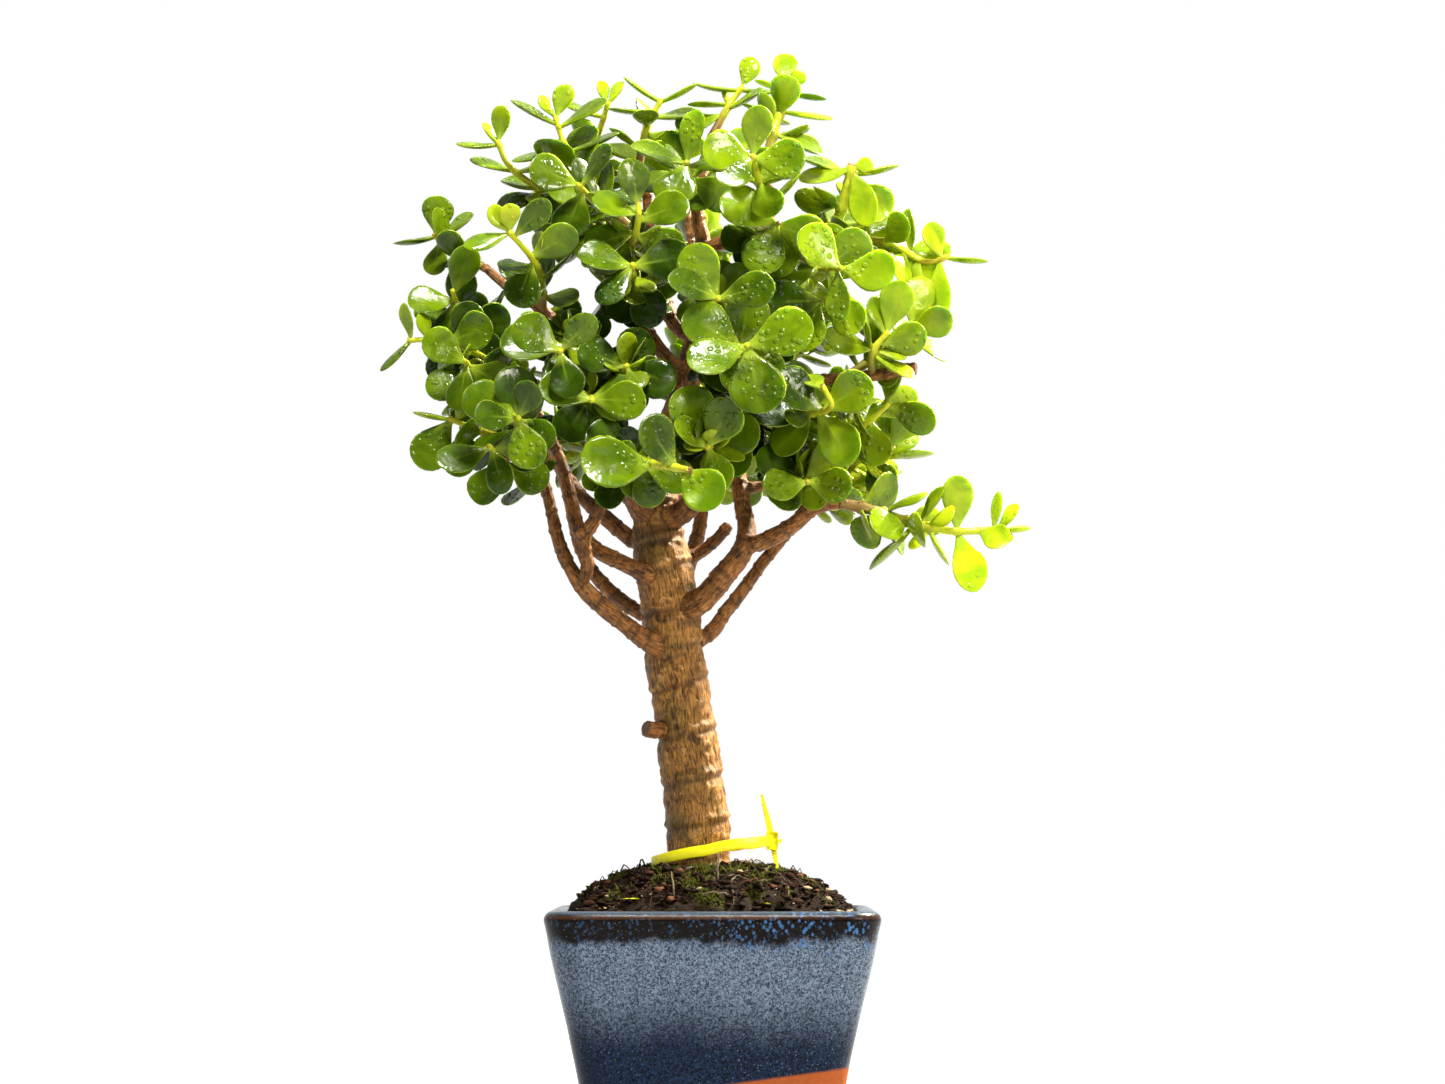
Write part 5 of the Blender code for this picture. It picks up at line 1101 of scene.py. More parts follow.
def soil_material():
    """Potting mix: kind = (tone, moss, pale) on the crumbs, fibres and moss; pale is straw, and on some
    crumbs painted glints.
    """
    s = Shader("soil")
    here = s.place_of()
    tone, moss, pale = s.split(s.attribute("kind"))
    grain = s.noise(here, 800, 5, 0.78)
    patch = s.noise(here, 120, 3, 0.6)
    colour = s.mix(s.span(grain, 0.4, 0.68), *SOIL_BLACK)
    colour = s.mix(s.times(s.math("POWER", tone, 7.0), 0.8), colour, SOIL_BROWN)
    colour = s.mix(s.times(s.span(patch, 0.5, 0.7), 0.5), colour, SOIL_SHADE)
    green = s.mix(s.span(grain, 0.35, 0.65), *MOSS_GREEN)
    colour = s.mix(moss, colour, green)
    # Pale straw colour: straw on the fibres and twig, partly pale bits and partly painted glints on the
    # pale crumbs.
    colour = s.mix(pale, colour, s.mix(grain, *STRAW_AND_GLINT))
    colour = s.mix(s.times(moss, pale), colour, FALLEN_YELLOW)
    rough = s.span(grain, 0.3, 0.7, 0.5, 0.95)
    normal = s.bump(grain, 0.0012, 1.0)
    return s.finish(colour, rough, normal, Specular_IOR_Level=0.05)


def strap_material():
    """Fluorescent yellow plastic with a little dirt."""
    s = Shader("strap_plastic")
    here = s.place_of()
    scuff = s.noise(here, 300, 4, 0.65)
    colour = s.mix(s.span(scuff, 0.3, 0.75), *STRAP_BRIGHT)
    dirt = s.times(s.span(s.noise(here, 90, 3), 0.58, 0.7), 0.35)
    colour = s.mix(dirt, colour, STRAP_DIRT)
    rough = s.span(scuff, 0.3, 0.7, 0.28, 0.5)
    normal = s.bump(scuff, 0.00012, 0.6)
    return s.finish(colour, rough, normal, Subsurface_Weight=0.15, Subsurface_Scale=0.002)


def mesh_material():
    """Black plastic of the drain mesh."""
    s = Shader("mesh_plastic")
    here = s.place_of()
    scuff = s.noise(here, 400, 3)
    colour = s.mix(scuff, *MESH_DARK)
    return s.finish(colour, s.span(scuff, 0.3, 0.7, 0.5, 0.75), s.bump(scuff, 0.0002, 0.6))


# ---- pot -----------------------------------------------------------------------------------------
POT_ARC = 9
POT_RUN = 14


def fine_square(half, corner, height):
    """Rounded square ring with many points, in metres."""
    ring = []
    corner = min(corner, half * 0.9)
    for quarter in range(4):
        middle = math.radians(45 + 90 * quarter)
        cx = math.copysign(half - corner, math.cos(middle))
        cy = math.copysign(half - corner, math.sin(middle))
        for step in range(POT_ARC + 1):
            angle = math.radians(90 * quarter + 90 * step / POT_ARC)
            ring.append((cx + corner * math.cos(angle), cy + corner * math.sin(angle)))
        after = math.radians(135 + 90 * quarter)
        nx = math.copysign(half - corner, math.cos(after))
        ny = math.copysign(half - corner, math.sin(after))
        angle = math.radians(90 * quarter + 90)
        start = np.array(ring[-1])
        end = np.array((nx + corner * math.cos(angle), ny + corner * math.sin(angle)))
        for step in range(1, POT_RUN):
            ring.append(tuple(start + (end - start) * step / POT_RUN))
    return np.array([(x, y, height) for x, y in ring]) * MM


def build_pot_look(material):
    """The glazed pot with its swollen lip, slight waves of the hand and drain holes."""
    lip_low = POT_HEIGHT - POT_LIP_DEPTH
    wide = POT_WIDTH / 2
    inside = inner_half(POT_HEIGHT)
    middle = (wide + inside) / 2
    reach = (wide - inside) / 2
    foot = POT_FOOT_ROUND
    profile = []
    for degrees in np.linspace(0, 80, 6):
        angle = math.radians(degrees)
        profile.append((outer_half(0) - foot + foot * math.sin(angle), foot - foot * math.cos(angle)))
    for share in np.linspace(0.05, 1.0, 22):
        profile.append((wall_half(lip_low * share), lip_low * share))
    for degrees in np.linspace(0, 180, 19):
        angle = math.radians(degrees)
        profile.append((middle + reach * math.cos(angle), POT_HEIGHT - reach + reach * math.sin(angle)))
    for share in np.linspace(0.1, 1.0, 8):
        height = POT_HEIGHT - reach + (POT_FLOOR + POT_FLOOR_ROUND - POT_HEIGHT + reach) * share
        profile.append((inner_half(height), height))
    profile.append((inner_half(POT_FLOOR) - POT_FLOOR_ROUND, POT_FLOOR))
    rings = []
    for half, height in profile:
        rings.append(fine_square(half, corner_radius(outer_half(height) - half), height))
    sides = len(rings[0])
    verts = np.concatenate(rings)
    for k, v in enumerate(verts):
        z = v[2] / MM
        if 3.0 < z and max(abs(v[0]), abs(v[1])) / MM > inner_half(z) + 1:
            wave = noise.noise(Vector(v) * 28) * 0.35 + noise.noise(Vector(v) * 90) * 0.1
            verts[k][:2] *= 1 + (wave - 0.25) * MM / max(abs(v[0]), abs(v[1]))
    pot = add_object("pot_glazed", verts, ring_faces(len(rings), sides), material)
    for side in (-1, 1):
        bpy.ops.mesh.primitive_cylinder_add(vertices=48, radius=DRAIN_HOLE / 2 * MM, depth=0.03,
                                            location=(side * DRAIN_SPACING / 2 * MM, 0, 0))
        cutter = bpy.context.object
        cut = pot.modifiers.new("hole", "BOOLEAN")
        cut.operation = "DIFFERENCE"
        cut.object = cutter
        settle(pot)
        bpy.data.objects.remove(cutter)
    pot.data.shade_smooth()
    pot.data.set_sharp_from_angle(angle=math.radians(50))
    place(pot, "glaze", "pot")


def settle(obj):
    """Applies an object's modifiers to its mesh."""
    bpy.context.view_layer.update()
    graph = bpy.context.evaluated_depsgraph_get()
    mesh = bpy.data.meshes.new_from_object(obj.evaluated_get(graph), preserve_all_data_layers=True,
                                           depsgraph=graph)
    obj.modifiers.clear()
    obj.data = mesh


# ---- soil ----------------------------------------------------------------------------------------
SOIL_AROUND = 180
SOIL_RINGS = 64
# Yellow bits of fallen leaf: across, back, half length.
FALLEN_BITS = ((-30.0, -47.0, 3.4), (20.0, -49.0, 2.2), (8.0, 31.0, 2.6), (-38.0, 12.0, 2.4))
CRUMBS = 4200
CRUMB_SIZES = (0.4, 2.0)
# Share of crumbs made pale, as bits of straw and as painted glints.
PALE_AND_GLINT_CRUMBS = 0.04
FIBRES = 260
FIBRE_POINTS = 9
FIBRE_SIDES = 6
FIBRE_REACH = 50.0
MOSS_TUFTS = 8000
MOSS_BLADES = 3
# Half width of the square on which bits are dealt, and the clear strip along the pot's wall.
BITS_REACH = 52.0
BITS_EDGE = 2.0
# Twig that stands in the soil in front: points from its foot, then radii.
TWIG_PLACE = (7.0, -35.0)
TWIG = [(-0.6, -35.0, -2.0), (0.0, -35.3, 2.0), (-0.3, -35.1, 4.5), (0.4, -35.5, 7.0)]
TWIG_RADII = (0.5, 0.45, 0.4, 0.3)


def soil_edge(angle, height):
    """Distance from the middle to the pot's inner wall along an angle."""
    half = inner_half(height) - SEAT_GAP
    corner = corner_radius(POT_WALL + SEAT_GAP)
    c, s = math.cos(angle), math.sin(angle)
    reach = half / max(abs(c), abs(s))
    x, y = reach * c, reach * s
    limit = half - corner
    if abs(x) > limit and abs(y) > limit:
        dot = c * math.copysign(limit, x) + s * math.copysign(limit, y)
        reach = dot + math.sqrt(max(0.0, dot * dot - 2 * limit * limit + corner ** 2))
    return reach


def soil_top(x, y):
    """Height of the crumbly soil surface in millimetres."""
    spot = Vector((x * 0.16, y * 0.16, 1.7))
    rough = noise.noise(spot) * 1.6 + noise.noise(spot * 2.7) * 1.5 + noise.noise(spot * 7) * 0.9
    return soil_height(x, y) + rough


def moss_share(x, y):
    """How mossy the soil is at a point: most near the trunk's foot, to its left and front."""
    foot = plant_point(*TRUNK[0][:3]) / MM
    far = math.hypot((x - foot.x - 4) / 36, (y - foot.y + 6) / 34)
    patch = noise.noise(Vector((x * 0.09, y * 0.09, 8.0)))
    return max(0.0, min(1.0, 1.3 - far + patch * 1.2))


def build_soil_look(material):
    """The soil's body with its uneven top, down to the pot's floor."""
    foot = plant_point(*TRUNK[0][:3]) / MM
    inner = trunk_base_radius() - 2.5
    edge_low = POT_HEIGHT - SOIL_BELOW_LIP
    verts = []
    kinds = []
    for height in (POT_FLOOR + SEAT_GAP + 1.4, POT_FLOOR + 6, edge_low * 0.6, edge_low - 5):
        for k in range(SOIL_AROUND):
            angle = math.tau * k / SOIL_AROUND
            reach = soil_edge(angle, height)
            verts.append((reach * math.cos(angle), reach * math.sin(angle), height))
            kinds.append((0.0, 0.0, 0.0))
    for ring in range(SOIL_RINGS):
        share = ring / (SOIL_RINGS - 1)
        for k in range(SOIL_AROUND):
            angle = math.tau * k / SOIL_AROUND
            reach = soil_edge(angle, edge_low)
            ex = foot.x + inner * math.cos(angle)
            ey = foot.y + inner * math.sin(angle)
            x = reach * math.cos(angle) * (1 - share) + ex * share
            y = reach * math.sin(angle) * (1 - share) + ey * share
            verts.append((x, y, soil_top(x, y) - (2.0 if ring == 0 else 0.0)))
            kinds.append((0.0, moss_share(x, y) * 0.55, 0.0))
    rings = len(verts) // SOIL_AROUND
    faces = ring_faces(rings, SOIL_AROUND)
    soil = add_object("soil_surface", np.array(verts) * MM, faces, material, {"kind": kinds})
    place(soil, "soil", "soil")


def spot_on_soil(dice, foot):
    """A point on the open soil, clear of the trunk."""
    while True:
        x = dice.uniform(-BITS_REACH, BITS_REACH)
        y = dice.uniform(-BITS_REACH, BITS_REACH)
        far = math.hypot(x, y)
        if far < soil_edge(math.atan2(y, x), POT_HEIGHT - SOIL_BELOW_LIP) - BITS_EDGE:
            if math.hypot(x - foot.x, y - foot.y) > trunk_base_radius() + 0.5:
                return x, y


def crumb(dice, size):
    """Small angular crumb: a squeezed ball of few faces."""
    verts = []
    for level, count in ((-0.75, 4), (0.0, 6), (0.75, 4)):
        ring = math.sqrt(1 - level * level)
        for k in range(count):
            angle = math.tau * k / count + level
            verts.append((ring * math.cos(angle), ring * math.sin(angle), level))
    verts = np.array(verts) * [[dice.uniform(0.55, 1.25)] for _ in verts]
    verts *= np.array((dice.uniform(0.6, 1.9), dice.uniform(0.5, 1.0), dice.uniform(0.3, 0.8))) * size
    faces = [(3, 2, 1, 0), (10, 11, 12, 13)]
    low, mid, top = 0, 4, 10
    faces += [(low, low + 1, mid + 1), (low, mid + 1, mid), (low + 1, low + 2, mid + 2),
              (low + 1, mid + 2, mid + 1), (low + 2, mid + 3, mid + 2), (low + 2, low + 3, mid + 4),
              (low + 2, mid + 4, mid + 3), (low + 3, low, mid), (low + 3, mid, mid + 5),
              (low + 3, mid + 5, mid + 4)]
    faces += [(mid, mid + 1, top), (mid + 1, top + 1, top), (mid + 1, mid + 2, top + 1),
              (mid + 2, mid + 3, top + 1), (mid + 3, top + 2, top + 1), (mid + 3, mid + 4, top + 2),
              (mid + 4, top + 3, top + 2), (mid + 4, mid + 5, top + 3), (mid + 5, mid, top + 3),
              (mid, top, top + 3)]
    turn = Matrix.Rotation(dice.uniform(0, math.tau), 3, "Z")
    turn = turn @ Matrix.Rotation(dice.uniform(-0.8, 0.8), 3, "X")
    return verts @ np.array(turn).T, faces


def build_soil_bits(material):
    """Crumbs, root fibres and moss on the soil."""
    dice = random.Random(21)
    foot = plant_point(*TRUNK[0][:3]) / MM
    bits = Gather("kind")
    for _ in range(CRUMBS):
        x, y = spot_on_soil(dice, foot)
        size = CRUMB_SIZES[0] + CRUMB_SIZES[1] * dice.random() ** 4
        verts, faces = crumb(dice, size)
        rise = soil_top(x, y) + size * 0.25
        # Some crumbs are pale: bits of straw and painted glints of the wet mix.
        pale = 0.8 if dice.random() < PALE_AND_GLINT_CRUMBS else 0.0
        bits.add((verts + (x, y, rise)) * MM, faces, kind=(dice.random(), 0.0, pale))
    place(bits.build("soil_crumbs", material), "soil", "soil")
    strands = Gather("kind")
    for _ in range(FIBRES):
        x, y = spot_on_soil(dice, foot)
        heading = dice.uniform(0, math.tau)
        length = dice.uniform(4, 15)
        bend = dice.uniform(-0.16, 0.16)
        lift = dice.uniform(0.2, 1.2) + 3.0 * dice.random() ** 5
        path = []
        for k in range(FIBRE_POINTS):
            t = k / (FIBRE_POINTS - 1)
            rise = soil_top(x, y) + 0.2 + lift * math.sin(math.pi * t) * (1 + 0.5 * math.sin(9 * t))
            path.append((x, y, rise))
            heading += bend
            x += math.cos(heading) * length / (FIBRE_POINTS - 1)
            y += math.sin(heading) * length / (FIBRE_POINTS - 1)
        if math.hypot(x, y) > FIBRE_REACH:
            continue
        radius = dice.uniform(0.16, 0.42)
        verts = swept(np.array(path), np.linspace(radius, radius * 0.4, FIBRE_POINTS), FIBRE_SIDES)
        faces = ring_faces(FIBRE_POINTS, FIBRE_SIDES)
        strands.add(verts * MM, faces, kind=(dice.random(), 0.0, dice.choice((0, 0, 0, 0.4))))
    twig = np.array(TWIG)
    twig[:, 2] += soil_top(foot.x + TWIG_PLACE[0], TWIG_PLACE[1])
    twig[:, 0] += foot.x + TWIG_PLACE[0]
    strands.add(swept(twig, TWIG_RADII, 8) * MM, ring_faces(len(twig), 8), kind=(0.7, 0.0, 0.45))
    for x, y, size in FALLEN_BITS:
        verts, faces = crumb(dice, size)
        verts = verts * (1.0, 1.0, 0.25)
        strands.add((verts + (x, y, soil_top(x, y) + 0.8)) * MM, faces, kind=(0.0, 1.0, 1.0))
    place(strands.build("soil_fibres", material), "soil", "soil")
    moss = Gather("kind")
    for _ in range(MOSS_TUFTS):
        x, y = spot_on_soil(dice, foot)
        if dice.random() > moss_share(x, y) ** 1.5:
            continue
        rise = soil_top(x, y) - 0.2
        for _ in range(MOSS_BLADES):
            tall = dice.uniform(0.9, 2.1)
            wide = dice.uniform(0.22, 0.4)
            lean = np.array((dice.uniform(-0.7, 0.7), dice.uniform(-0.7, 0.7), tall))
            turn = dice.uniform(0, math.tau)
            start = np.array((x + dice.uniform(-0.8, 0.8), y + dice.uniform(-0.8, 0.8), rise))
            ring = [start + wide * np.array((math.cos(turn + a), math.sin(turn + a), 0))
                    for a in (0, 2.1, 4.2)]
            mid = [p + lean * 0.55 + (start - p) * 0.1 for p in ring]
            verts = np.array(ring + mid + [start + lean])
            faces = [(0, 1, 4, 3), (1, 2, 5, 4), (2, 0, 3, 5), (3, 4, 6), (4, 5, 6), (5, 3, 6), (2, 1, 0)]
            moss.add(verts * MM, faces, kind=(0.0, dice.uniform(0.75, 1.0), 0.0))
    place(moss.build("moss", material), "soil", "soil")


# ---- strap ---------------------------------------------------------------------------------------
STRAP_FINE_STEPS = 120
# Section of the band with broken corners, in halves of its thickness and width.
STRAP_SECTION = [(-1, -0.7), (-0.6, -1), (0.6, -1), (1, -0.7), (1, 0.7), (0.6, 1), (-0.6, 1), (-1, 0.7)]
STRAP_TOOTH = 0.1


def build_strap_look(material):
    """Yellow plastic strap: rounded band, toothed tail and a head with its window."""
    loop = strap_loop()
    thick = STRAP_THICKNESS
    section = STRAP_SECTION
    steps = STRAP_FINE_STEPS
    verts = []
    for step in range(steps):
        angle = math.tau * step / steps
        x = loop[0] + loop[2] * math.cos(angle)
        y = loop[1] + loop[3] * math.sin(angle)
        rise = strap_height(x, y, loop)
        out = Vector((math.cos(angle) / loop[2], math.sin(angle) / loop[3], 0)).normalized()
        tooth = STRAP_TOOTH if step % 2 and angle > math.pi else 0.0
        for across, up in section:
            shift = out * (across * thick / 2 + (tooth if across > 0 else 0))
            verts.append((x + shift.x, y + shift.y, rise + up * STRAP_WIDTH / 2))
    faces = []
    for step in range(steps):
        after = (step + 1) % steps
        for side in range(8):
            other = (side + 1) % 8
            faces.append((step * 8 + other, step * 8 + side, after * 8 + side, after * 8 + other))
    band = Gather("kind")
    band.add(np.array(verts) * MM, faces, kind=(0, 0, 0))
    head = strap_head(loop)
    size = STRAP_HEAD / 2
    work = bmesh.new()
    bmesh.ops.create_cube(work, size=1.0)
    bmesh.ops.scale(work, vec=(size * 1.3, size * 1.2, size * 2), verts=work.verts)
    front = [f for f in work.faces if f.normal.y < -0.9]
    bmesh.ops.inset_region(work, faces=front, thickness=0.9)
    bmesh.ops.translate(work, vec=(0, 1.4, 0), verts=front[0].verts)
    bmesh.ops.bevel(work, geom=list(work.edges), offset=0.3, segments=2, affect="EDGES")
    verts = np.array([tuple(v.co) for v in work.verts]) + tuple(head)
    faces = [tuple(v.index for v in f.verts) for f in work.faces]
    work.free()
    band.add(verts * MM, faces, kind=(0, 0, 0))
    for side in (-1, 1):
        ear = np.array(tuple(head)) + np.array([(0, 0, -0.8), (0, 0, 0.8)]) + (side * size * 0.75, -0.3, 0)
        band.add(swept(ear, (1.1, 1.1), 10) * MM, ring_faces(2, 10), kind=(0, 0, 0))
    for points, widths in strap_tails(loop):
        path, wide = smooth_path(points, widths, 0.7)
        teeth = 1 + 0.08 * (np.arange(len(path)) % 2)
        ring = np.array([(c, s * thick * 0.3, 0) for c, s in section])[None]
        reach = np.stack([wide * teeth, np.ones(len(path)), np.ones(len(path))], axis=1)
        verts = (path[:, None, :] + ring * reach[:, None, :]).reshape(-1, 3)
        faces = ring_faces(len(path), 8)
        if points[-1].z < points[0].z:
            faces = [tuple(reversed(face)) for face in faces]
        band.add(verts * MM, faces, kind=(0, 0, 0))
    strap = band.build("strap_yellow", material)
    strap.data.set_sharp_from_angle(angle=math.radians(35))
    place(strap, "strap_plastic", "strap")


# ---- wood ----------------------------------------------------------------------------------------
WOOD_VOXEL = 0.00065
WOOD_STEP = 0.0015
NEAREST_BLOCK = 4000
# Heights of the bark's relief in metres: lengthways striae, flakes and lumps.
STRIAE = 0.0003
FLAKES = 0.00035
LUMPS = 0.0009
TRUNK_RINGS = (18, 35, 53, 72, 87, 101, 117, 128, 142, 156, 171, 186, 199, 212)
KNOTS = [(-5.0, -12.0, 70.0, 3.0), (1.5, -11.0, 37.0, 2.2), (-16.0, -9.5, 95.0, 2.4)]
CUT_LIMBS = ("right_stub", "right_bare", "cut_twig_0", "cut_twig_1", "cut_twig_2", "cut_twig_3")


def wood_samples(paths):
    """Fine axis samples of every limb: place, radius, length run, frame and limb number."""
    rows = []
    for index, (name, (points, radii)) in enumerate(paths.items()):
        path, wide = smooth_path(points, radii, WOOD_STEP)
        tangent, first, second = path_frames(path)
        run = np.concatenate([[0], np.cumsum(np.linalg.norm(np.diff(path, axis=0), axis=1))])
        rows.append({"name": name, "path": path, "wide": wide, "run": run, "index": index,
                     "first": first, "second": second, "tangent": tangent})
    return rows


def ring_places(row, dice):
    """Where the leaf-scar rings lie along a limb, in metres."""
    if row["name"] == "trunk":
        heights = [plant_point(0, 0, z).z for z in TRUNK_RINGS]
        return [float(np.interp(h, row["path"][:, 2], row["run"])) for h in heights]
    places = []
    at = dice.uniform(0.004, 0.009)
    while at < row["run"][-1]:
        places.append(at)
        at += dice.uniform(0.0055, 0.0105)
    return places


def build_wood_look(paths, material):
    """Trunk and limbs run into one skin, then rings, striae, knots and lumps of bark on it."""
    dice = random.Random(5)
    rows = wood_samples(paths)
    skin = Gather()
    for row in rows:
        sides = 26 if row["name"] == "trunk" else 12
        skin.add(swept(row["path"], row["wide"], sides), ring_faces(len(row["wide"]), sides))
    wood = skin.build("trunk_and_limbs_bark", None)
    remesh = wood.modifiers.new("skin", "REMESH")
    remesh.mode = "VOXEL"
    remesh.voxel_size = WOOD_VOXEL
    smooth = wood.modifiers.new("smooth", "SMOOTH")
    smooth.factor = 0.5
    smooth.iterations = 4
    settle(wood)
    mesh = wood.data
    count = len(mesh.vertices)
    co = point_vectors(mesh, "co")
    normal = point_vectors(mesh, "normal")
    path = np.concatenate([row["path"] for row in rows])
    wide = np.concatenate([row["wide"] for row in rows])
    owner = np.concatenate([np.full(len(row["path"]), row["index"]) for row in rows])
    near = np.empty(count, dtype=int)
    for start in range(0, count, NEAREST_BLOCK):
        block = co[start:start + NEAREST_BLOCK]
        gap = np.linalg.norm(block[:, None, :] - path[None], axis=2) - wide[None]
        near[start:start + NEAREST_BLOCK] = gap.argmin(axis=1)
    run = np.concatenate([row["run"] for row in rows])
    tangent = np.concatenate([row["tangent"] for row in rows])
    first = np.concatenate([row["first"] for row in rows])
    second = np.concatenate([row["second"] for row in rows])
    offset = co - path[near]
    along = run[near] + (offset * tangent[near]).sum(1)
    turn = np.arctan2((offset * second[near]).sum(1), (offset * first[near]).sum(1))
    limb = owner[near]
    ring = np.zeros(count)
    groove = np.zeros(count)
    cut = np.zeros(count)
    for row in rows:
        mine = limb == row["index"]
        broad = 0.0012 if row["name"] == "trunk" else 0.0007
        tilt = dice.uniform(0.0003, 0.0011)
        phase = dice.uniform(0, math.tau)
        s = along[mine] + np.sin(turn[mine] + phase) * tilt
        value = np.zeros(mine.sum())
        dip = np.zeros(mine.sum())
        for spot in ring_places(row, dice):
            value += np.exp(-((s - spot) / broad) ** 2)
            dip += np.exp(-((s - spot + broad * 1.9) / broad) ** 2)
        ring[mine] = value
        groove[mine] = dip
        if row["name"] in CUT_LIMBS:
            cut[mine] = np.clip((along[mine] - row["run"][-1] + 0.0004) / 0.0003, 0, 1)
    trunk = np.clip((wide[near] - 0.0045) / 0.004, 0, 1)
    push = ring * (0.00028 + 0.0003 * trunk) - groove * (0.0002 + 0.0003 * trunk)
    around = turn * wide[near]
    for k in range(count):
        spot = Vector((around[k] * 700, along[k] * 130, limb[k] * 3.1))
        striae = noise.noise(spot)
        flake = noise.noise(Vector((around[k] * 260, along[k] * 330, limb[k] * 5.3)))
        flake = max(-0.25, min(0.25, flake)) * 2.4
        lump = noise.noise(Vector(co[k]) * 95)
        relief = striae * STRIAE + flake * FLAKES + lump * LUMPS
        push[k] += relief * (0.35 + 0.65 * trunk[k])
    for x, y, z, size in KNOTS:
        spot = np.array(tuple(plant_point(x, y, z)))
        far = np.linalg.norm(co - spot, axis=1) / (size * MM)
        push += 0.0008 * np.exp(-((far - 1.0) / 0.35) ** 2) - 0.0009 * np.exp(-(far / 0.6) ** 2)
        cut = np.maximum(cut, np.exp(-(far / 0.75) ** 4) * 0.9)
    co = co + normal * push[:, None]
    mesh.vertices.foreach_set("co", co.ravel())
    store_vectors(mesh, "run", np.stack([around / MM, along / MM, limb * 17.0], axis=1))
    store_vectors(mesh, "mark", np.stack([np.clip(groove, 0, 1), trunk, cut], axis=1))
    mesh.update()
    mesh.shade_smooth()
    mesh.materials.append(material)
    place(wood, "bark", "trunk_and_limbs")


# ---- leaves --------------------------------------------------------------------------------------
LEAF_STATIONS = 12
LEAF_ROUND = 12
STEM_FINE_SIDES = 10
STEM_STEP = 0.0011
# Length of a stem's swelling at each leaf, and of a dried tip, in metres.
NODE_LENGTH = 0.0012
FILL_TRIES = 7
FILL_PITCH = 2.4
FILL_LENGTHS = ((13.0, 18.0), (9.0, 13.0))
FILL_REACH = 106.0
FILL_CORE = 66.0
FILL_FRONT = -6.0
WIDEST = 0.64
# Stems that end in a dried cut, and stems stouter than the rest.
DRY_TIPS = ("front_low", "crown_stub", "upper_right_cut", "right_mid", "big_leaf_front")
STOUT = {"upper_right_cut": 1.7, "front_low": 1.35, "right_long": 1.3, "top_right_tip": 1.2}


def leaf_template():
    """Station shares, half width and thickness shares of a leaf, and its round section."""
    t = np.linspace(0, 1, LEAF_STATIONS)
    u = 0.5 * (1 - np.cos(np.pi * t))
    low = 0.13 + 0.87 * np.sin(np.pi / 2 * np.clip(u / WIDEST, 0, 1)) ** 1.45
    high = np.sqrt(np.clip(1 - ((u - WIDEST) / (1 - WIDEST)) ** 2, 0, 1))
    half = np.where(u < WIDEST, low, high)
    half[-1] = 0.10
    thick = np.sqrt(np.clip(1 - u ** 6, 0.0, 1)) * (0.72 + 0.28 * np.sin(np.pi * u))
    thick[-1] = 0.12
    turn = np.linspace(0, 2 * np.pi, LEAF_ROUND, endpoint=False)
    across = np.cos(turn)
    up = np.sign(np.sin(turn)) * np.abs(np.sin(turn)) ** 1.35
    return u, half, thick, across, up


def fine_leaf(leaf, dice, template):
    """Points of one fleshy leaf and its place vectors."""
    u, half, thick, across, up = template
    length = leaf["length"] * MM
    width = leaf["width"] * MM
    base = np.array(tuple(leaf["base"]))
    along = np.array(tuple(leaf["along"]))
    face = np.array(tuple(leaf["face"]))
    side = np.cross(along, face)
    cup = LEAF_CUP + dice.uniform(-0.06, 0.1)
    curl = dice.uniform(-0.02, 0.36)
    twist = dice.uniform(-0.28, 0.28)
    sway = dice.uniform(-0.06, 0.06)
    squeeze = 1 + dice.uniform(-0.06, 0.06) * np.sin(np.pi * u)
    x = half[:, None] * squeeze[:, None] * across[None]
    lift = np.where(up > 0, 0.42, 0.58)[None] * up[None] * thick[:, None]
    z = lift * LEAF_THICKNESS * MM
    z = z + (x ** 2) * curl * width / 2
    groove = np.exp(-(across / 0.2) ** 2) * (up > 0)
    z = z - groove[None] * (0.16 * LEAF_THICKNESS * MM) * (1 - u[:, None]) * thick[:, None]
    x = x * width / 2
    turn = twist * u[:, None]
    xr = x * np.cos(turn) - z * np.sin(turn)
    zr = x * np.sin(turn) + z * np.cos(turn)
    centre = base + along * (length * u)[:, None] + face * (length * cup * u ** 2)[:, None]
    centre = centre + side * (length * sway * u ** 2)[:, None]
    verts = centre[:, None, :] + side * xr[..., None] + face * zr[..., None]
    where = np.stack([np.broadcast_to(across[None], x.shape), np.broadcast_to(u[:, None], x.shape),
                      np.zeros_like(x)], axis=-1)
    return verts.reshape(-1, 3), where.reshape(-1, 3)


def leaf_tint(leaf, dice):
    """Lime share and tone of a leaf: small tip leaves are lime, lit leaves at the right, top and back get
    lime as painted light, inner and left leaves a low tone as painted shade.
    """
    spot = leaf["middle"] / MM
    centre = plant_point(*CROWN_MIDDLE) / MM
    out = (spot - centre).length / 105.0
    small = max(0.0, min(1.0, (15.0 - leaf["length"]) / 8.0))
    # Painted light: leaves to the right, high up and at the back are tinted lime as if the sun shone on
    # them.
    lit = max(0.0, (spot.x - 30.0) / 60.0) * 0.85 + max(0.0, (spot.z - 345.0) / 70.0) * 0.3
    lit += max(0.0, spot.y - 10.0) / 90.0 * 0.25
    youth_and_light = small * 0.75 * (0.5 + 0.5 * out) + lit * dice.uniform(0.2, 1.0)
    if leaf["share"] > 0.9 and leaf["length"] < 15:
        youth_and_light += 0.25
    youth_and_light *= dice.uniform(0.6, 1.2)
    # Painted shade: leaves deep in the crown and on its left side get a low tone, which turns them deep
    # green.
    shade = max(0.0, min(0.3, -spot.x / 200.0))
    tone = max(0.0, min(1.0, (out - 0.45) * 0.9 - shade + dice.uniform(-0.25, 0.45)))
    return max(0.0, min(1.0, youth_and_light)), tone


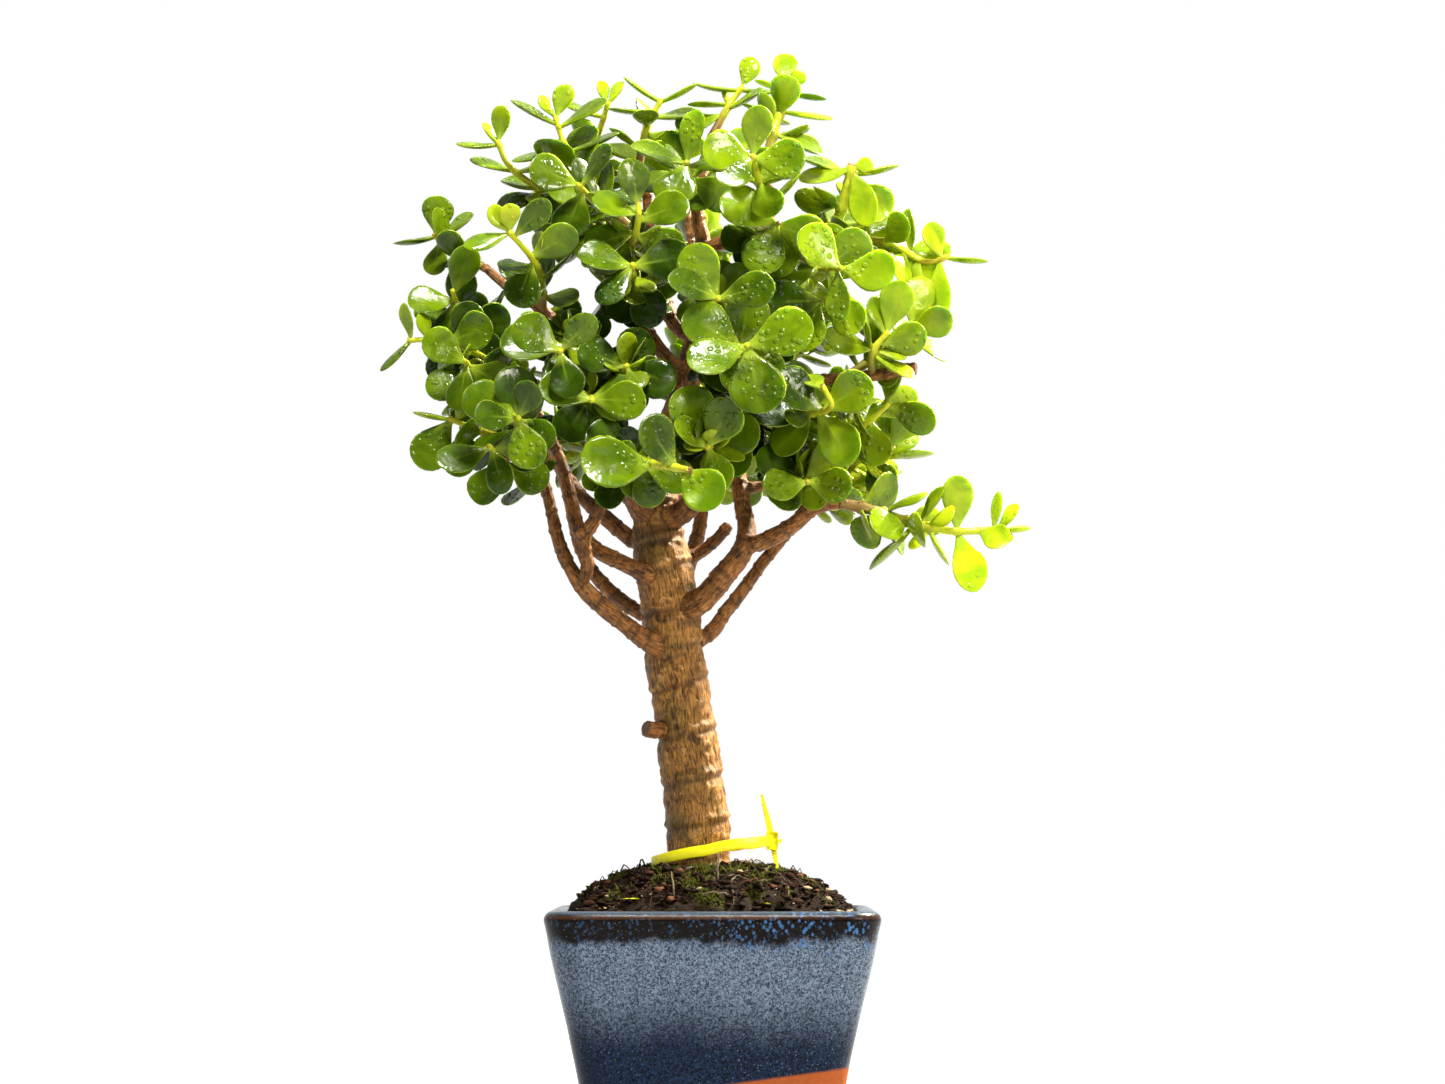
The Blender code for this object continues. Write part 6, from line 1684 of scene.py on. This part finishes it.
def place_fill(shoot, room, dice, low, high):
    """Further leaves inside the crown and behind, wherever there is still room."""
    centre = plant_point(*CROWN_MIDDLE)
    start = (shoot.foot_radius + 2.0 * MM) / shoot.length
    pitch = FILL_PITCH * MM / shoot.length
    share = 0.97
    while share > start:
        spot, axis = along_path(shoot.path, share)
        helper = Vector((0, 0, 1)) if abs(axis.z) < 0.8 else Vector((1, 0, 0))
        right = axis.cross(helper).normalized()
        back = axis.cross(right)
        for _ in range(FILL_TRIES):
            angle = dice.uniform(0, math.tau)
            spread = math.radians(dice.uniform(40, 85))
            around = right * math.cos(angle) + back * math.sin(angle)
            along = axis * math.cos(spread) + around * math.sin(spread)
            along.normalize()
            face = axis * 0.6 + Vector((0, -0.2, 0.8))
            face = (face - along * face.dot(along)).normalized()
            face = Matrix.Rotation(dice.uniform(-0.5, 0.5), 3, along) @ face
            length = dice.uniform(low, high)
            end = spot + along * length * MM
            far = (end - centre).length / MM
            if far < FILL_REACH and (end.y > FILL_FRONT * MM or far < FILL_CORE):
                shoot.try_leaf(room, share, along, face, length, length * dice.uniform(0.68, 0.85))
        share -= pitch


def build_shoot_look(shoot, dice, template, material):
    """Green stem with its fine leaves as one piece."""
    look = Gather("tint", "place")
    radii = np.array(shoot.radii) * STOUT.get(shoot.name[6:], 1.0)
    path, wide = smooth_path(shoot.path, radii, STEM_STEP)
    run = np.concatenate([[0], np.cumsum(np.linalg.norm(np.diff(path, axis=0), axis=1))])
    share = run / run[-1]
    for leaf in shoot.leaves:
        wide = wide * (1 + 0.16 * np.exp(-((share - leaf["share"]) * run[-1] / NODE_LENGTH) ** 2))
    sides = STEM_FINE_SIDES
    verts = swept(path, wide, sides)
    dry = np.zeros(len(path))
    if shoot.name[6:] in DRY_TIPS:
        dry = np.clip((share - 1) * run[-1] / NODE_LENGTH + 1, 0, 1)
    woody = np.clip(1.3 - share * 3.5, 0, 0.85)
    none = np.zeros_like(share)
    stem = np.stack([none, 0.4 + 0.6 * share, np.ones_like(share)], axis=1).repeat(sides, axis=0)
    where = np.stack([none, share, np.maximum(dry, woody)], axis=1).repeat(sides, axis=0)
    look.add(verts, ring_faces(len(path), sides), tint=stem, place=where)
    faces = ring_faces(LEAF_STATIONS, LEAF_ROUND)
    for leaf in shoot.leaves:
        verts, where = fine_leaf(leaf, dice, template)
        youth_and_light, tone = leaf_tint(leaf, dice)
        look.add(verts, faces, tint=(youth_and_light, tone, 0.0), place=where)
    obj = look.build("leaves_" + shoot.name[6:], material)
    place(obj, "leaf", shoot.name)


def grow_shoots(paths):
    """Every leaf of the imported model, found again by the same rules, then the smaller ones."""
    shoots = []
    room = Room()
    for name, (limb, points, drawn) in SHOOTS.items():
        shoots.append(Shoot(name, limb, points, drawn, paths))
    for name in ("trunk_and_limbs", "pot", "soil", "strap", "drain_mesh"):
        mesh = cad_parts[name].data
        room.add(name, [v.co.copy() for v in mesh.vertices], [tuple(p.vertices) for p in mesh.polygons])
    for shoot in shoots:
        room.add(shoot.name, *shoot.stem_parts())
    for shoot in shoots:
        place_drawn(shoot, room)
    dice = random.Random(7)
    for shoot in shoots:
        start = (shoot.foot_radius + 2.5 * MM) / shoot.length
        if shoot.drawn:
            place_pairs(shoot, room, dice, start, 0.55, SHADED_PAIR_SPACING)
        else:
            place_pairs(shoot, room, dice, start, 1.0, PAIR_SPACING)
    report_match(shoots)
    dice = random.Random(11)
    for low, high in FILL_LENGTHS:
        for shoot in shoots:
            place_fill(shoot, room, dice, low, high)
    print("leaves in all:", sum(len(shoot.leaves) for shoot in shoots))
    return shoots


def report_match(shoots):
    """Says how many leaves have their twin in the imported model."""
    found = 0
    total = 0
    for shoot in shoots:
        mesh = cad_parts[shoot.name].data
        cad = np.array([tuple(v.co) for v in mesh.vertices])
        for leaf in shoot.leaves:
            total += 1
            crown = np.array(tuple(leaf["verts"][-2]))
            found += np.linalg.norm(cad - crown, axis=1).min() < 0.00005
    print(f"leaves with a twin in the packed model: {found} of {total}")


# ---- stage, light and camera ---------------------------------------------------------------------
# Brightness of the white room in front of the tree and behind it, and where the change starts.
STUDIO_FRONT = 0.08
STUDIO_BACK = 0.95
STUDIO_TURN = -0.6
FLOOR_REACH = 8.0
FLOOR_GLOW = 0.9
# Area lights: place in millimetres, size in metres, power in watts, colour.
LIGHTS = {
    "sun_side": ((650, 420, 900), 0.14, 70, (1.0, 0.91, 0.7)),
    "top_soft": ((60, -500, 1200), 0.24, 25, (1.0, 0.98, 0.92)),
    "front_right": ((800, -700, 500), 0.3, 9, (1.0, 0.93, 0.8)),
}
LIGHT_AIM = (-10, 0, 260)
CAMERA_PLACE = (0.0037, -1.6, 0.108)
CAMERA_TILT = 3.857
CAMERA_LENS = 102.7
CAMERA_FILM = 36.0


def area_light(name, place_mm, size, power, colour):
    """Round area light that shines at the middle of the tree."""
    data = bpy.data.lights.new(name, "AREA")
    data.shape = "DISK"
    data.size = size
    data.energy = power
    data.color = colour
    light = bpy.data.objects.new(name, data)
    bpy.context.scene.collection.objects.link(light)
    light.location = Vector(place_mm) * MM
    aim = Vector(LIGHT_AIM) * MM - light.location
    light.rotation_euler = aim.to_track_quat("-Z", "Y").to_euler()


def build_stage():
    """White floor and white room, brighter behind the tree than in front of it."""
    s = Shader("floor")
    grain = s.noise(s.place_of(), 6, 2)
    colour = s.mix(grain, (0.09, 0.09, 0.09), (0.11, 0.11, 0.11))
    material = s.finish(colour, 0.9, None, Emission_Color=(1, 1, 1, 1),
                        Emission_Strength=FLOOR_GLOW)
    reach = FLOOR_REACH
    verts = [(-reach, -reach, 0), (reach, -reach, 0), (reach, reach, 0), (-reach, reach, 0)]
    floor = add_object("floor", verts, [(0, 1, 2, 3)], material)
    world = bpy.data.worlds.new("studio")
    bpy.context.scene.world = world
    world.use_nodes = True
    tree = world.node_tree
    ray = tree.nodes.new("ShaderNodeLightPath")
    where = tree.nodes.new("ShaderNodeTexCoord")
    split = tree.nodes.new("ShaderNodeSeparateXYZ")
    glow = tree.nodes.new("ShaderNodeMapRange")
    level = tree.nodes.new("ShaderNodeMix")
    background = tree.nodes["Background"]
    glow.inputs["From Min"].default_value = STUDIO_TURN
    glow.inputs["To Min"].default_value = STUDIO_FRONT
    glow.inputs["To Max"].default_value = STUDIO_BACK
    level.inputs["B"].default_value = 1.0
    background.inputs["Color"].default_value = (1, 1, 1, 1)
    tree.links.new(where.outputs["Generated"], split.inputs[0])
    tree.links.new(split.outputs["Y"], glow.inputs["Value"])
    tree.links.new(ray.outputs["Is Camera Ray"], level.inputs["Factor"])
    tree.links.new(glow.outputs["Result"], level.inputs["A"])
    tree.links.new(level.outputs["Result"], background.inputs["Strength"])
    for name, settings in LIGHTS.items():
        area_light(name, *settings)


def build_camera():
    """Camera low in front of the tree, looking a little upward."""
    data = bpy.data.cameras.new("camera")
    data.sensor_width = CAMERA_FILM
    data.lens = CAMERA_LENS
    camera = bpy.data.objects.new("camera", data)
    bpy.context.scene.collection.objects.link(camera)
    camera.location = CAMERA_PLACE
    camera.rotation_euler = (math.radians(90 + CAMERA_TILT), 0, 0)
    bpy.context.scene.camera = camera


def main():
    """Stage, light and camera, then every visible piece."""
    scene = bpy.context.scene
    scene.view_settings.view_transform = "Standard"
    build_stage()
    build_camera()
    paths = limb_paths()
    shoots = grow_shoots(paths)
    build_pot_look(glaze_material())
    soil = soil_material()
    build_soil_look(soil)
    build_soil_bits(soil)
    build_strap_look(strap_material())
    build_wood_look(paths, bark_material())
    leaf = leaf_material()
    template = leaf_template()
    dice = random.Random(3)
    for shoot in shoots:
        build_shoot_look(shoot, dice, template, leaf)
    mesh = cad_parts["drain_mesh"]
    mesh.data.materials.clear()
    mesh.data.materials.append(mesh_material())


main()
